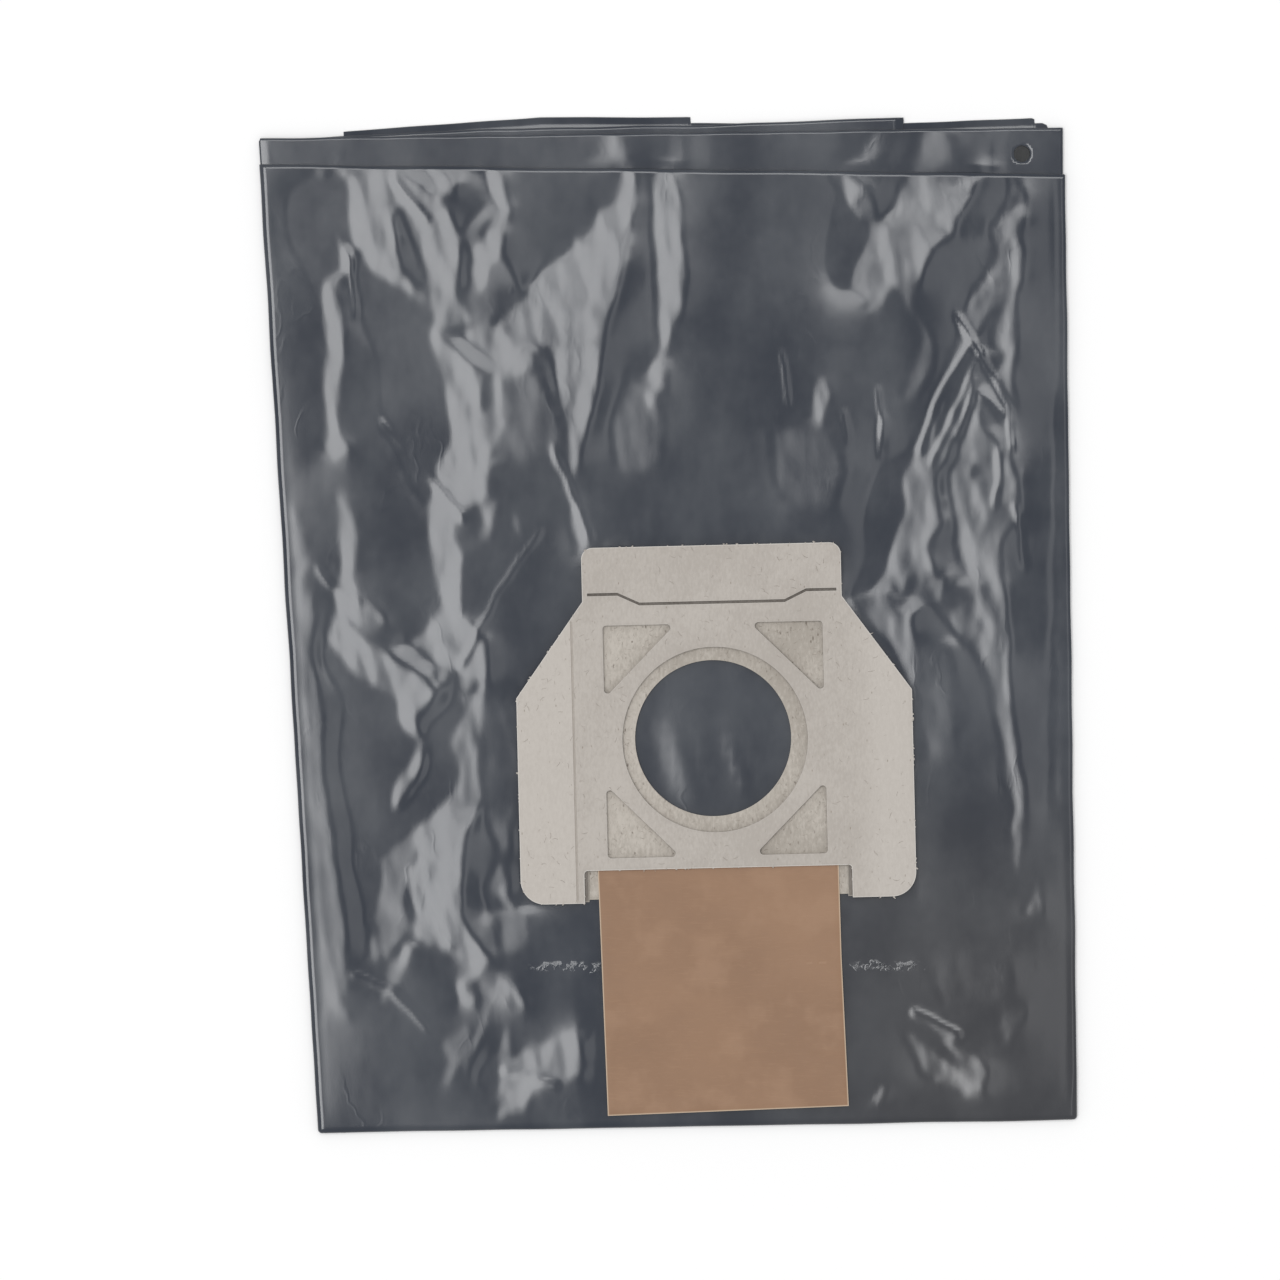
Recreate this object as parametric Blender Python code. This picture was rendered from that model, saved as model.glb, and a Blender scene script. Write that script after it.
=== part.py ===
"""Folded plastic bag for a vacuum cleaner: dark film, a board collar and a sliding shutter card.

Metres, +Z up. The bag lies flat with its collar upwards. +Y runs up the bag and +X to its right.
The origin is under the middle of the folded film, on the surface that the bag lies on.
"""

import math

import bmesh
import bpy
from mathutils import Vector

# Folded film: overall size and how its edges lean
PACK_WIDTH = 0.2863
PACK_LENGTH = 0.3553
LEFT_LEAN = 0.0207
RIGHT_LEAN = 0.0042
BOTTOM_RISE = 0.0046

# Film thickness and the air between two plies
FILM = 0.0005
PLY_GAP = 0.0003

# Upper edges of the plies, as drops from the top of the pack
FRONT_DROP_LEFT = 0.0151
FRONT_DROP_RIGHT = 0.0186
BACK_DROP_LEFT = 0.0074
BACK_DROP_RIGHT = 0.0035
TUCK_DROP = 0.0025
UNDER_STEP = 0.0021

# Side edges of the plies, as distances from the left or right side of the pack
BACK_CORNER_INSET = 0.0052
TUCK_END = 0.2254
TUCK_BEND = 0.1614
UNDER_STEP_AT = 0.1509
UNDER_BEND = 0.0984
UNDER_END_INSET = 0.0102
UNDER_SHOULDER = 0.0049
UNDER_CORNER = 0.0020

# Inlet hole and vent hole in the film
FILM_HOLE_MARGIN = 0.0017
VENT_D = 0.0060
VENT_FROM_RIGHT = 0.0193
VENT_FROM_TOP = 0.0126

# Soft relief of the front ply
PILLOW = 0.0006
RELIEF_FADE = 0.016
COLLAR_FADE = 0.014
COLLAR_MARGIN = 0.003
FRONT_COLUMNS = 40
FRONT_ROWS = 48

# Wrinkles of the front ply: start x, y, end x, y, height and half width
WRINKLES = (
    (-0.1150, 0.1520, -0.1180, 0.0700, 0.0018, 0.0100),
    (-0.1160, 0.0640, -0.0660, 0.0230, 0.0013, 0.0070),
    (-0.0760, 0.1500, -0.0980, 0.0900, 0.0011, 0.0100),
    (-0.0430, 0.1500, -0.0300, 0.0400, 0.0018, 0.0085),
    (-0.0010, 0.1560, 0.0005, 0.0860, 0.0016, 0.0070),
    (0.0740, 0.1560, 0.0900, 0.1120, 0.0014, 0.0100),
    (0.1180, 0.1500, 0.1020, 0.0820, 0.0013, 0.0070),
    (0.0950, 0.0420, 0.0800, -0.0060, 0.0011, 0.0080),
    (0.1200, 0.0700, 0.1160, 0.0000, 0.0014, 0.0080),
    (-0.1120, 0.0080, -0.1060, -0.0620, 0.0014, 0.0080),
    (-0.0660, 0.0220, -0.0800, -0.0480, 0.0013, 0.0080),
    (-0.1100, -0.1060, -0.0500, -0.1360, 0.0014, 0.0080),
    (-0.0900, -0.0700, -0.0760, -0.1080, 0.0010, 0.0080),
    (0.1060, -0.1080, 0.1340, -0.0960, 0.0013, 0.0070),
    (0.0760, -0.1320, 0.1240, -0.1360, 0.0011, 0.0070),
)

# Collar: where it sits on the bag, and its outline about the middle of its recess
COLLAR_X = 0.0165
COLLAR_ABOVE_FOLD = 0.13775
COLLAR_TURN = 1.35
COLLAR_W = 0.1384
SHOULDER_Y = 0.0160
TAB_W = 0.0908
TAB_FOOT_Y = 0.0492
TAB_TOP_Y = 0.0680
FOOT_Y = -0.0563
NOTCH_W = 0.0937
NOTCH_Y = -0.0449
TAB_CORNER_R = 0.0040
FOOT_CORNER_R = 0.0085
NOTCH_CORNER_R = 0.0013
SHOULDER_R = 0.0008

# Collar layers, from the film upwards
BACK_BOARD = 0.0010
SPACER_BOARD = 0.0006
TOP_BOARD = 0.0010
LAYER_GAP = 0.0003
BACK_INSET = 0.0008
BACK_FOOT_RISE = 0.0013
SPACER_INSET = 0.0005

# Openings of the collar
INLET_D = 0.0546
RING = 0.00515
INLET_SHIFT_X = -0.0007
INLET_SHIFT_Y = 0.0005
WINDOW_INSET = 0.0068
WINDOW_Y = 0.0407
WINDOW_LEG = 0.0256
WINDOW_R = 0.0013
SLIT_W = 0.0010
SLIT_ABOVE_FOOT = 0.0024
SLIT_DIP = 0.0036
SLIT_END = 0.0018
SLIT_STRAIGHT = 0.0106
SLIT_RAMP = 0.0076
SCORE_BESIDE_NOTCH = 0.00255
SCORE_W = 0.0006
SCORE_DEPTH = 0.0003

# Shutter channel and card
SPACER_LIP = 0.00155
CHANNEL_ABOVE_WINDOW = 0.0033
CARD_SIDE_PLAY = 0.00315
CARD_SHORTER = 0.0007
CARD_TILT = 1.0
CARD_TUCK = 0.0031
CARD_KNEE = 0.0004
CARD_KNEE_AT = 0.0360

# Mesh fineness
ARC_STEP = 9.0
HOLE_SIDES = 72
VENT_SIDES = 24
ROLL_SIDES = 8

# Overlap by which the rolled folds reach into their plies, how far a ply ends short of its fold's axis,
# and the folds' thinner walls
ROLL_LEG = 0.0015
PLY_SHORT = 0.0003
SIDE_SKIN = 0.00002
BOTTOM_SKIN = 0.00004
CUT_REACH = 0.001

FILM_COLOR = (0.066, 0.074, 0.088)
TOP_COLOR = (0.500, 0.462, 0.420)
SPACER_COLOR = (0.420, 0.380, 0.330)
BACK_COLOR = (0.440, 0.400, 0.340)
CARD_COLOR = (0.340, 0.215, 0.130)

PITCH = FILM + PLY_GAP
LEFT_SIDE = -PACK_WIDTH / 2
RIGHT_SIDE = PACK_WIDTH / 2
PACK_TOP = PACK_LENGTH / 2
PACK_BOTTOM = -PACK_LENGTH / 2
UNDER, TUCK, BACK, FRONT = range(4)
FRONT_TOP_Z = FRONT * PITCH + FILM
OUTER_ROLL_R = FRONT_TOP_Z / 2
INNER_ROLL_R = (BACK * PITCH + FILM - TUCK * PITCH) / 2
SIDE_ROLL_R = (FRONT_TOP_Z - BACK * PITCH) / 2

COLLAR_Y = PACK_BOTTOM + COLLAR_ABOVE_FOLD
FILM_HOLE_D = INLET_D + 2 * FILM_HOLE_MARGIN
RECESS_D = INLET_D + 2 * RING
CHANNEL_W = NOTCH_W - 2 * SPACER_LIP
CHANNEL_END_Y = WINDOW_Y + CHANNEL_ABOVE_WINDOW
WINDOW_X = CHANNEL_W / 2 - WINDOW_INSET
CARD_W = CHANNEL_W - 2 * CARD_SIDE_PLAY
CARD_L = CHANNEL_END_Y - NOTCH_Y - CARD_SHORTER
SLIT_SIDE_Y = TAB_FOOT_Y + SLIT_ABOVE_FOOT
SLIT_MIDDLE_Y = SLIT_SIDE_Y - SLIT_DIP
SLIT_HALF = TAB_W / 2 - SLIT_END
SLIT_OUTER_X = SLIT_HALF - SLIT_STRAIGHT
SLIT_INNER_X = SLIT_OUTER_X - SLIT_RAMP
SCORE_X = NOTCH_W / 2 + SCORE_BESIDE_NOTCH

BACK_BOARD_Z = FRONT_TOP_Z + LAYER_GAP
SPACER_Z = BACK_BOARD_Z + BACK_BOARD + LAYER_GAP
TOP_BOARD_Z = SPACER_Z + SPACER_BOARD + LAYER_GAP


def clear_scene():
    """Remove every object that a new file holds."""
    for item in list(bpy.data.objects):
        bpy.data.objects.remove(item, do_unlink=True)


def make_material(name, color, roughness):
    """Return a Principled material of one colour."""
    material = bpy.data.materials.new(name)
    material.use_nodes = True
    shader = material.node_tree.nodes["Principled BSDF"]
    shader.inputs["Base Color"].default_value = (*color, 1.0)
    shader.inputs["Roughness"].default_value = roughness
    shader.inputs["Metallic"].default_value = 0.0
    return material


def add_object(name, bm, material=None, parent=None):
    """Turn a bmesh into a linked object, with its faces turned outwards."""
    bmesh.ops.recalc_face_normals(bm, faces=bm.faces)
    mesh = bpy.data.meshes.new(name)
    bm.to_mesh(mesh)
    bm.free()
    item = bpy.data.objects.new(name, mesh)
    bpy.context.scene.collection.objects.link(item)
    if material is not None:
        mesh.materials.append(material)
    item.parent = parent
    return item


def as_tool(item):
    """Mark an object as a cutter or an operand, which isn't a piece of its own."""
    item.hide_render = True
    item.display_type = 'WIRE'
    return item


def add_boolean(target, tool, operation):
    """Combine a target with a tool by an exact Boolean."""
    step = target.modifiers.new(f"{operation.lower()}_{tool.name}", 'BOOLEAN')
    step.operation = operation
    step.solver = 'EXACT'
    step.object = tool


def rounded(corners):
    """Return an outline whose corners, each (x, y, radius), are arcs."""
    points = []
    for index, (x, y, radius) in enumerate(corners):
        corner = Vector((x, y))
        before = Vector(corners[index - 1][:2]) - corner
        after = Vector(corners[(index + 1) % len(corners)][:2]) - corner
        if radius <= 0.0:
            points.append((x, y))
            continue
        half = before.angle(after) / 2
        middle = corner + (before.normalized() + after.normalized()).normalized() * (radius / math.sin(half))
        start = corner + before.normalized() * (radius / math.tan(half)) - middle
        sweep = start.angle_signed(corner + after.normalized() * (radius / math.tan(half)) - middle)
        steps = max(2, round(abs(math.degrees(sweep)) / ARC_STEP))
        for step in range(steps + 1):
            turn = -sweep * step / steps
            points.append((
                middle.x + start.x * math.cos(turn) - start.y * math.sin(turn),
                middle.y + start.x * math.sin(turn) + start.y * math.cos(turn),
            ))
    return points


def circle(diameter, sides, x=0.0, y=0.0):
    """Return the points of a circle."""
    turns = [2 * math.pi * side / sides for side in range(sides)]
    return [(x + diameter / 2 * math.cos(turn), y + diameter / 2 * math.sin(turn)) for turn in turns]


def slab(outline, holes, low, high):
    """Return a bmesh of a flat outline with holes, made thick from low to high."""
    bm = bmesh.new()
    edges = []
    for loop in (outline, *holes):
        verts = [bm.verts.new((x, y, low)) for x, y in loop]
        edges += [bm.edges.new((vert, verts[index - 1])) for index, vert in enumerate(verts)]
    bmesh.ops.triangle_fill(bm, edges=edges, use_beauty=True, use_dissolve=False)
    grown = bmesh.ops.extrude_face_region(bm, geom=bm.faces[:])
    upper = [part for part in grown["geom"] if isinstance(part, bmesh.types.BMVert)]
    bmesh.ops.translate(bm, verts=upper, vec=(0.0, 0.0, high - low))
    return bm


def left_edge(y):
    """Return the x of the pack's leaning left side at height y."""
    top = PACK_TOP - FRONT_DROP_LEFT
    return LEFT_SIDE + LEFT_LEAN * (top - y) / (top - PACK_BOTTOM)


def right_edge(y):
    """Return the x of the pack's leaning right side at height y."""
    top = PACK_TOP - FRONT_DROP_RIGHT
    bottom = PACK_BOTTOM + BOTTOM_RISE
    return RIGHT_SIDE - RIGHT_LEAN * (y - bottom) / (top - bottom)


def bottom_edge(x):
    """Return the y of the pack's rising bottom fold at x."""
    left = LEFT_SIDE + LEFT_LEAN
    return PACK_BOTTOM + BOTTOM_RISE * (x - left) / (RIGHT_SIDE - left)


def fold_left(y):
    """Return the x of the axis that the left folds turn about."""
    return left_edge(y) + OUTER_ROLL_R


def fold_bottom(x):
    """Return the y of the axis that the bottom folds turn about."""
    return bottom_edge(x) + OUTER_ROLL_R


def lower_corner(x):
    """Return the point of the bottom fold's axis at x."""
    return (x, fold_bottom(x))


def ply_foot(x):
    """Return the point of a ply's lower edge at x, just short of the bottom fold's axis."""
    return (x, fold_bottom(x) + PLY_SHORT)


def lower_left():
    """Return the corner where the axes of the left and bottom folds cross."""
    y = fold_bottom(fold_left(PACK_BOTTOM))
    return ply_foot(fold_left(y) + PLY_SHORT)


def smooth(value):
    """Return a soft step from 0 to 1."""
    value = min(1.0, max(0.0, value))
    return value * value * (3.0 - 2.0 * value)


def in_collar_frame(x, y):
    """Return a place on the bag as seen from the collar."""
    turn = math.radians(COLLAR_TURN)
    dx = x - COLLAR_X
    dy = y - COLLAR_Y
    return (dx * math.cos(turn) + dy * math.sin(turn), dy * math.cos(turn) - dx * math.sin(turn))


def beyond_collar(x, y):
    """Return how far a place lies outside the box around the collar."""
    across, along = in_collar_frame(x, y)
    beside = abs(across) - COLLAR_W / 2 - COLLAR_MARGIN
    past = max(along - TAB_TOP_Y, FOOT_Y - along) - COLLAR_MARGIN
    return math.hypot(max(beside, 0.0), max(past, 0.0))


def under_card(x, y):
    """Return 1 below the card and its surroundings and 0 away from it."""
    across, along = in_collar_frame(x, y)
    beside = smooth((abs(across) - CHANNEL_W / 2) / COLLAR_FADE)
    past = smooth((NOTCH_Y - CARD_L - along) / COLLAR_FADE)
    return (1.0 - beside) * (1.0 - past) if along < FOOT_Y + COLLAR_FADE else 0.0


def wrinkle_height(x, y):
    """Return the summed height of the wrinkles at a place."""
    height = 0.0
    for x0, y0, x1, y1, peak, half_width in WRINKLES:
        run = Vector((x1 - x0, y1 - y0))
        place = Vector((x - x0, y - y0))
        along = place.dot(run) / run.length_squared
        nearest = min(1.0, max(0.0, along))
        away = (place - run * nearest).length
        height += peak * math.exp(-((away / half_width) ** 2))
    return height


def front_relief(x, y):
    """Return how far the front ply stands above its flat level."""
    sides = min(x - left_edge(y), right_edge(y) - x, y - bottom_edge(x), front_top(x) - y)
    edge = smooth((sides - OUTER_ROLL_R) / RELIEF_FADE)
    clear = smooth(beyond_collar(x, y) / COLLAR_FADE)
    height = PILLOW + wrinkle_height(x, y)
    card_room = BACK_BOARD * (1.0 - math.exp(-height / BACK_BOARD))
    covered = under_card(x, y)
    return edge * clear * (covered * card_room + (1.0 - covered) * height)


def front_top(x):
    """Return the y of the front ply's upper edge at x."""
    share = (x - LEFT_SIDE) / (RIGHT_SIDE - RIGHT_LEAN - LEFT_SIDE)
    return PACK_TOP - FRONT_DROP_LEFT - (FRONT_DROP_RIGHT - FRONT_DROP_LEFT) * share


def back_top(x):
    """Return the y of the back ply's upper edge at x."""
    share = (x - LEFT_SIDE) / PACK_WIDTH
    return PACK_TOP - BACK_DROP_LEFT + (BACK_DROP_LEFT - BACK_DROP_RIGHT) * share


def build_front_ply():
    """Return the bmesh of the front ply: a wrinkled sheet between its folds."""
    bm = bmesh.new()
    layers = []
    for lift in (0.0, FILM):
        rows = []
        for row in range(FRONT_ROWS + 1):
            up = row / FRONT_ROWS
            verts = []
            for column in range(FRONT_COLUMNS + 1):
                across = column / FRONT_COLUMNS
                x_low = (fold_left(PACK_BOTTOM) + PLY_SHORT) * (1 - across)
                x_low += (RIGHT_SIDE - SIDE_ROLL_R - PLY_SHORT) * across
                x_high = (LEFT_SIDE + OUTER_ROLL_R + PLY_SHORT) * (1 - across)
                x_high += (RIGHT_SIDE - RIGHT_LEAN - SIDE_ROLL_R - PLY_SHORT) * across
                x = x_low * (1 - up) + x_high * up
                y = ply_foot(x_low)[1] * (1 - up) + front_top(x_high) * up
                verts.append(bm.verts.new((x, y, FRONT * PITCH + lift + front_relief(x, y))))
            rows.append(verts)
        layers.append(rows)
    for rows in layers:
        for row in range(FRONT_ROWS):
            for column in range(FRONT_COLUMNS):
                bm.faces.new((
                    rows[row][column], rows[row][column + 1],
                    rows[row + 1][column + 1], rows[row + 1][column],
                ))
    low, high = layers
    rims = []
    for rows in (low, high):
        rim = rows[0][:]
        rim += [line[-1] for line in rows[1:]]
        rim += rows[-1][-2::-1]
        rim += [line[0] for line in rows[-2:0:-1]]
        rims.append(rim)
    for index in range(len(rims[0])):
        bm.faces.new((rims[0][index - 1], rims[0][index], rims[1][index], rims[1][index - 1]))
    return bm


def build_roll(start, end, radius, middle_z, skin):
    """Return the bmesh of a half round fold along a line, bulging to the line's left."""
    run = Vector((end[0] - start[0], end[1] - start[1], 0.0))
    out = Vector((-run.y, run.x, 0.0)).normalized()
    outer = radius - skin
    inner = radius - FILM + skin
    profile = []
    for size, order in ((outer, 1), (inner, -1)):
        arc = [(-ROLL_LEG, order * size)]
        for side in range(ROLL_SIDES + 1):
            turn = order * (math.pi / 2 - math.pi * side / ROLL_SIDES)
            arc.append((size * math.cos(turn), size * math.sin(turn)))
        arc.append((-ROLL_LEG, -order * size))
        profile += arc
    bm = bmesh.new()
    verts = [
        bm.verts.new(Vector((start[0], start[1], middle_z + up)) + out * away) for away, up in profile
    ]
    face = bm.faces.new(verts)
    grown = bmesh.ops.extrude_face_region(bm, geom=[face])
    moved = [part for part in grown["geom"] if isinstance(part, bmesh.types.BMVert)]
    bmesh.ops.translate(bm, verts=moved, vec=run)
    return bm


def flat_plies():
    """Return the outline and level of each ply behind the front one."""
    corner_x, corner_y = lower_left()
    back_right = RIGHT_SIDE - BACK_CORNER_INSET
    right_foot = RIGHT_SIDE - SIDE_ROLL_R - PLY_SHORT
    tuck_right = LEFT_SIDE + TUCK_END
    under_step = LEFT_SIDE + UNDER_STEP_AT
    under_right = RIGHT_SIDE - UNDER_END_INSET
    left_top = fold_left(PACK_TOP - BACK_DROP_LEFT) + PLY_SHORT
    back = [
        (corner_x, corner_y), ply_foot(right_foot),
        (right_edge(front_top(back_right)) - SIDE_ROLL_R - PLY_SHORT, front_top(back_right)),
        (back_right, back_top(back_right)), (left_top, back_top(left_top)),
    ]
    tuck = [
        (corner_x, corner_y), ply_foot(tuck_right), (tuck_right, PACK_TOP),
        (LEFT_SIDE + TUCK_BEND, PACK_TOP - TUCK_DROP), (LEFT_SIDE + TUCK_BEND / 2, PACK_TOP - TUCK_DROP),
        (left_top, back_top(left_top)),
    ]
    shoulder_y = PACK_TOP - UNDER_STEP
    under = rounded([
        (corner_x, corner_y, 0.0), (*ply_foot(under_right), 0.0),
        (under_right, shoulder_y, UNDER_CORNER),
        (under_right - UNDER_SHOULDER, shoulder_y, 0.0),
        (under_right - UNDER_SHOULDER, PACK_TOP - UNDER_STEP / 6, UNDER_STEP / 2),
        (LEFT_SIDE + TUCK_END, shoulder_y, 0.0), (under_step, shoulder_y, 0.0),
        (under_step, PACK_TOP, 0.0), (LEFT_SIDE + UNDER_BEND, PACK_TOP, 0.0),
        (left_top, back_top(left_top), 0.0),
    ])
    return ((back, BACK), (tuck, TUCK), (under, UNDER))


def build_film(material, collar):
    """Build the folded film: four plies, the folds between them, the inlet hole and the vent hole."""
    film = add_object("film_bag", build_front_ply(), material)
    hole = circle(FILM_HOLE_D, HOLE_SIDES, INLET_SHIFT_X, INLET_SHIFT_Y)
    inlet = as_tool(add_object(
        "film_inlet_cutter", slab(hole, (), -FILM - PLY_GAP / 2, CUT_REACH), parent=collar,
    ))
    add_boolean(film, inlet, 'DIFFERENCE')
    for outline, level in flat_plies():
        ply = as_tool(add_object(f"ply_{level}", slab(outline, (), level * PITCH, level * PITCH + FILM)))
        add_boolean(film, ply, 'UNION')
    left_foot = (fold_left(PACK_BOTTOM), PACK_BOTTOM + SIDE_SKIN)
    front_left = (fold_left(PACK_TOP - FRONT_DROP_LEFT), PACK_TOP - FRONT_DROP_LEFT)
    back_left = (fold_left(PACK_TOP - BACK_DROP_LEFT), back_top(LEFT_SIDE))
    right_x = RIGHT_SIDE - SIDE_ROLL_R
    right_foot = (right_x, bottom_edge(right_x))
    front_right = (right_x - RIGHT_LEAN, front_top(right_x - RIGHT_LEAN))
    tuck_foot = lower_corner(LEFT_SIDE + TUCK_END - PLY_SHORT)
    corner = lower_corner(LEFT_SIDE + LEFT_LEAN + SIDE_SKIN)
    inner_corner = lower_corner(LEFT_SIDE + LEFT_LEAN + PLY_SHORT)
    rolls = (
        ("roll_left_outer", left_foot, front_left, OUTER_ROLL_R, OUTER_ROLL_R, SIDE_SKIN),
        ("roll_left_inner", left_foot, back_left, INNER_ROLL_R, OUTER_ROLL_R, SIDE_SKIN),
        ("roll_right", front_right, right_foot, SIDE_ROLL_R, FRONT_TOP_Z - SIDE_ROLL_R, SIDE_SKIN),
        ("roll_bottom_outer", lower_corner(right_x), corner, OUTER_ROLL_R, OUTER_ROLL_R, BOTTOM_SKIN),
        ("roll_bottom_inner", tuck_foot, inner_corner, INNER_ROLL_R, OUTER_ROLL_R, BOTTOM_SKIN),
    )
    for name, start, end, radius, middle_z, skin in rolls:
        roll = as_tool(add_object(name, build_roll(start, end, radius, middle_z, skin)))
        add_boolean(film, roll, 'UNION')
    vent_x = RIGHT_SIDE - VENT_FROM_RIGHT
    vent_y = PACK_TOP - VENT_FROM_TOP
    vent = as_tool(add_object(
        "vent_cutter",
        slab(circle(VENT_D, VENT_SIDES, vent_x, vent_y), (), BACK * PITCH - PLY_GAP / 2, FRONT * PITCH),
    ))
    add_boolean(film, vent, 'DIFFERENCE')
    return film


def collar_outline(inset, foot_y, notched):
    """Return the collar's outline, drawn in by inset, with or without the notch at its foot."""
    tab = TAB_W / 2 - inset
    side = COLLAR_W / 2 - inset
    half = [
        (side, foot_y, FOOT_CORNER_R - inset), (side, SHOULDER_Y, SHOULDER_R),
        (tab, TAB_FOOT_Y, 0.0), (tab, TAB_TOP_Y - inset, TAB_CORNER_R - inset),
    ]
    foot = []
    if notched:
        foot = [(NOTCH_W / 2, NOTCH_Y, NOTCH_CORNER_R), (NOTCH_W / 2, foot_y, 0.0)]
    right = foot + half
    left = [(-x, y, radius) for x, y, radius in reversed(right)]
    return rounded(right + left)


def window_outline(across, along):
    """Return one three-sided window, with its square corner outwards on the signs given."""
    corners = [
        (across * WINDOW_X, along * WINDOW_Y, WINDOW_R),
        (across * (WINDOW_X - WINDOW_LEG), along * WINDOW_Y, WINDOW_R),
        (across * WINDOW_X, along * (WINDOW_Y - WINDOW_LEG), WINDOW_R),
    ]
    return rounded(corners)


def slit_outline():
    """Return the cranked slit across the foot of the tab."""
    route = [
        (-SLIT_HALF, SLIT_SIDE_Y), (-SLIT_OUTER_X, SLIT_SIDE_Y), (-SLIT_INNER_X, SLIT_MIDDLE_Y),
        (SLIT_INNER_X, SLIT_MIDDLE_Y), (SLIT_OUTER_X, SLIT_SIDE_Y), (SLIT_HALF, SLIT_SIDE_Y),
    ]
    upper = [(x, y + SLIT_W / 2) for x, y in route]
    lower = [(x, y - SLIT_W / 2) for x, y in route]
    return upper + lower[::-1]


def build_top_plate(material, collar):
    """Build the collar's top board, with its recess, windows, slit, notch and score line."""
    windows = [window_outline(across, along) for across in (-1, 1) for along in (-1, 1)]
    holes = [circle(RECESS_D, HOLE_SIDES), *windows, slit_outline()]
    board = slab(collar_outline(0.0, FOOT_Y, True), holes, 0.0, TOP_BOARD)
    plate = add_object("collar_top_plate", board, material, collar)
    plate.location.z = TOP_BOARD_Z - FRONT_TOP_Z
    groove = bmesh.new()
    ends = []
    for y in (FOOT_Y - CUT_REACH, TAB_FOOT_Y):
        profile = (
            (-SCORE_X - SCORE_W / 2, TOP_BOARD), (-SCORE_X, TOP_BOARD - SCORE_DEPTH),
            (-SCORE_X + SCORE_W / 2, TOP_BOARD), (-SCORE_X + SCORE_W / 2, TOP_BOARD + CUT_REACH),
            (-SCORE_X - SCORE_W / 2, TOP_BOARD + CUT_REACH),
        )
        ends.append([groove.verts.new((x, y, z)) for x, z in profile])
    groove.faces.new(ends[0])
    groove.faces.new(ends[1])
    for index in range(len(ends[0])):
        groove.faces.new((ends[0][index - 1], ends[0][index], ends[1][index], ends[1][index - 1]))
    cutter = as_tool(add_object("score_cutter", groove, parent=collar))
    cutter.location.z = plate.location.z
    add_boolean(plate, cutter, 'DIFFERENCE')
    return plate


def build_spacer(material, collar):
    """Build the spacer board, an arch whose legs guide the shutter card."""
    half = CHANNEL_W / 2
    tab = TAB_W / 2 - SPACER_INSET
    side = COLLAR_W / 2 - SPACER_INSET
    foot_y = FOOT_Y + SPACER_INSET
    right = [
        (half, CHANNEL_END_Y, 0.0), (half, foot_y, 0.0), (side, foot_y, FOOT_CORNER_R),
        (side, SHOULDER_Y, SHOULDER_R), (tab, TAB_FOOT_Y, 0.0), (tab, TAB_TOP_Y - SPACER_INSET, TAB_CORNER_R),
    ]
    left = [(-x, y, radius) for x, y, radius in reversed(right)]
    spacer = add_object("collar_spacer", slab(rounded(right + left), (), 0.0, SPACER_BOARD), material, collar)
    spacer.location.z = SPACER_Z - FRONT_TOP_Z
    return spacer


def build_back_plate(material, collar):
    """Build the back board, which is glued to the film around the inlet."""
    outline = collar_outline(BACK_INSET, FOOT_Y + BACK_FOOT_RISE, False)
    inlet = circle(INLET_D, HOLE_SIDES, INLET_SHIFT_X, INLET_SHIFT_Y)
    plate = add_object("collar_back_plate", slab(outline, (inlet,), 0.0, BACK_BOARD), material, collar)
    plate.location.z = BACK_BOARD_Z - FRONT_TOP_Z
    return plate


def build_card(material, collar):
    """Build the shutter card, which hangs out of the channel and slides up over the inlet."""
    outline = [
        (-CARD_W / 2, 0.0), (-CARD_W / 2, -CARD_L), (CARD_W / 2, -CARD_L),
        (CARD_W / 2 - CARD_KNEE, -CARD_KNEE_AT), (CARD_W / 2, 0.0),
    ]
    card = add_object("shutter_card", slab(outline, (), 0.0, SPACER_BOARD), material, collar)
    card.location = (0.0, NOTCH_Y + CARD_TUCK, SPACER_Z - FRONT_TOP_Z)
    card.rotation_euler.z = math.radians(CARD_TILT)
    return card


def main():
    """Build the whole bag."""
    clear_scene()
    collar = bpy.data.objects.new("collar_frame", None)
    bpy.context.scene.collection.objects.link(collar)
    collar.location = (COLLAR_X, COLLAR_Y, FRONT_TOP_Z)
    collar.rotation_euler.z = math.radians(COLLAR_TURN)
    build_film(make_material("dark_film", FILM_COLOR, 0.25), collar)
    build_back_plate(make_material("back_board", BACK_COLOR, 0.9), collar)
    build_spacer(make_material("spacer_board", SPACER_COLOR, 0.9), collar)
    build_top_plate(make_material("top_board", TOP_COLOR, 0.75), collar)
    build_card(make_material("brown_card", CARD_COLOR, 0.6), collar)
    bpy.context.view_layer.update()


main()
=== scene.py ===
"""Looks of a folded plastic vacuum bag: glossy dark film, a board collar and a brown shutter card.

Metres, +Z up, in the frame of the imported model. +Y runs up the bag and +X to its right.
"""

import logging
import math
from dataclasses import dataclass
from enum import Enum
from typing import Callable, Sequence

import bpy
import numpy as np
from mathutils import Matrix, Vector
from mathutils.geometry import delaunay_2d_cdt


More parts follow.
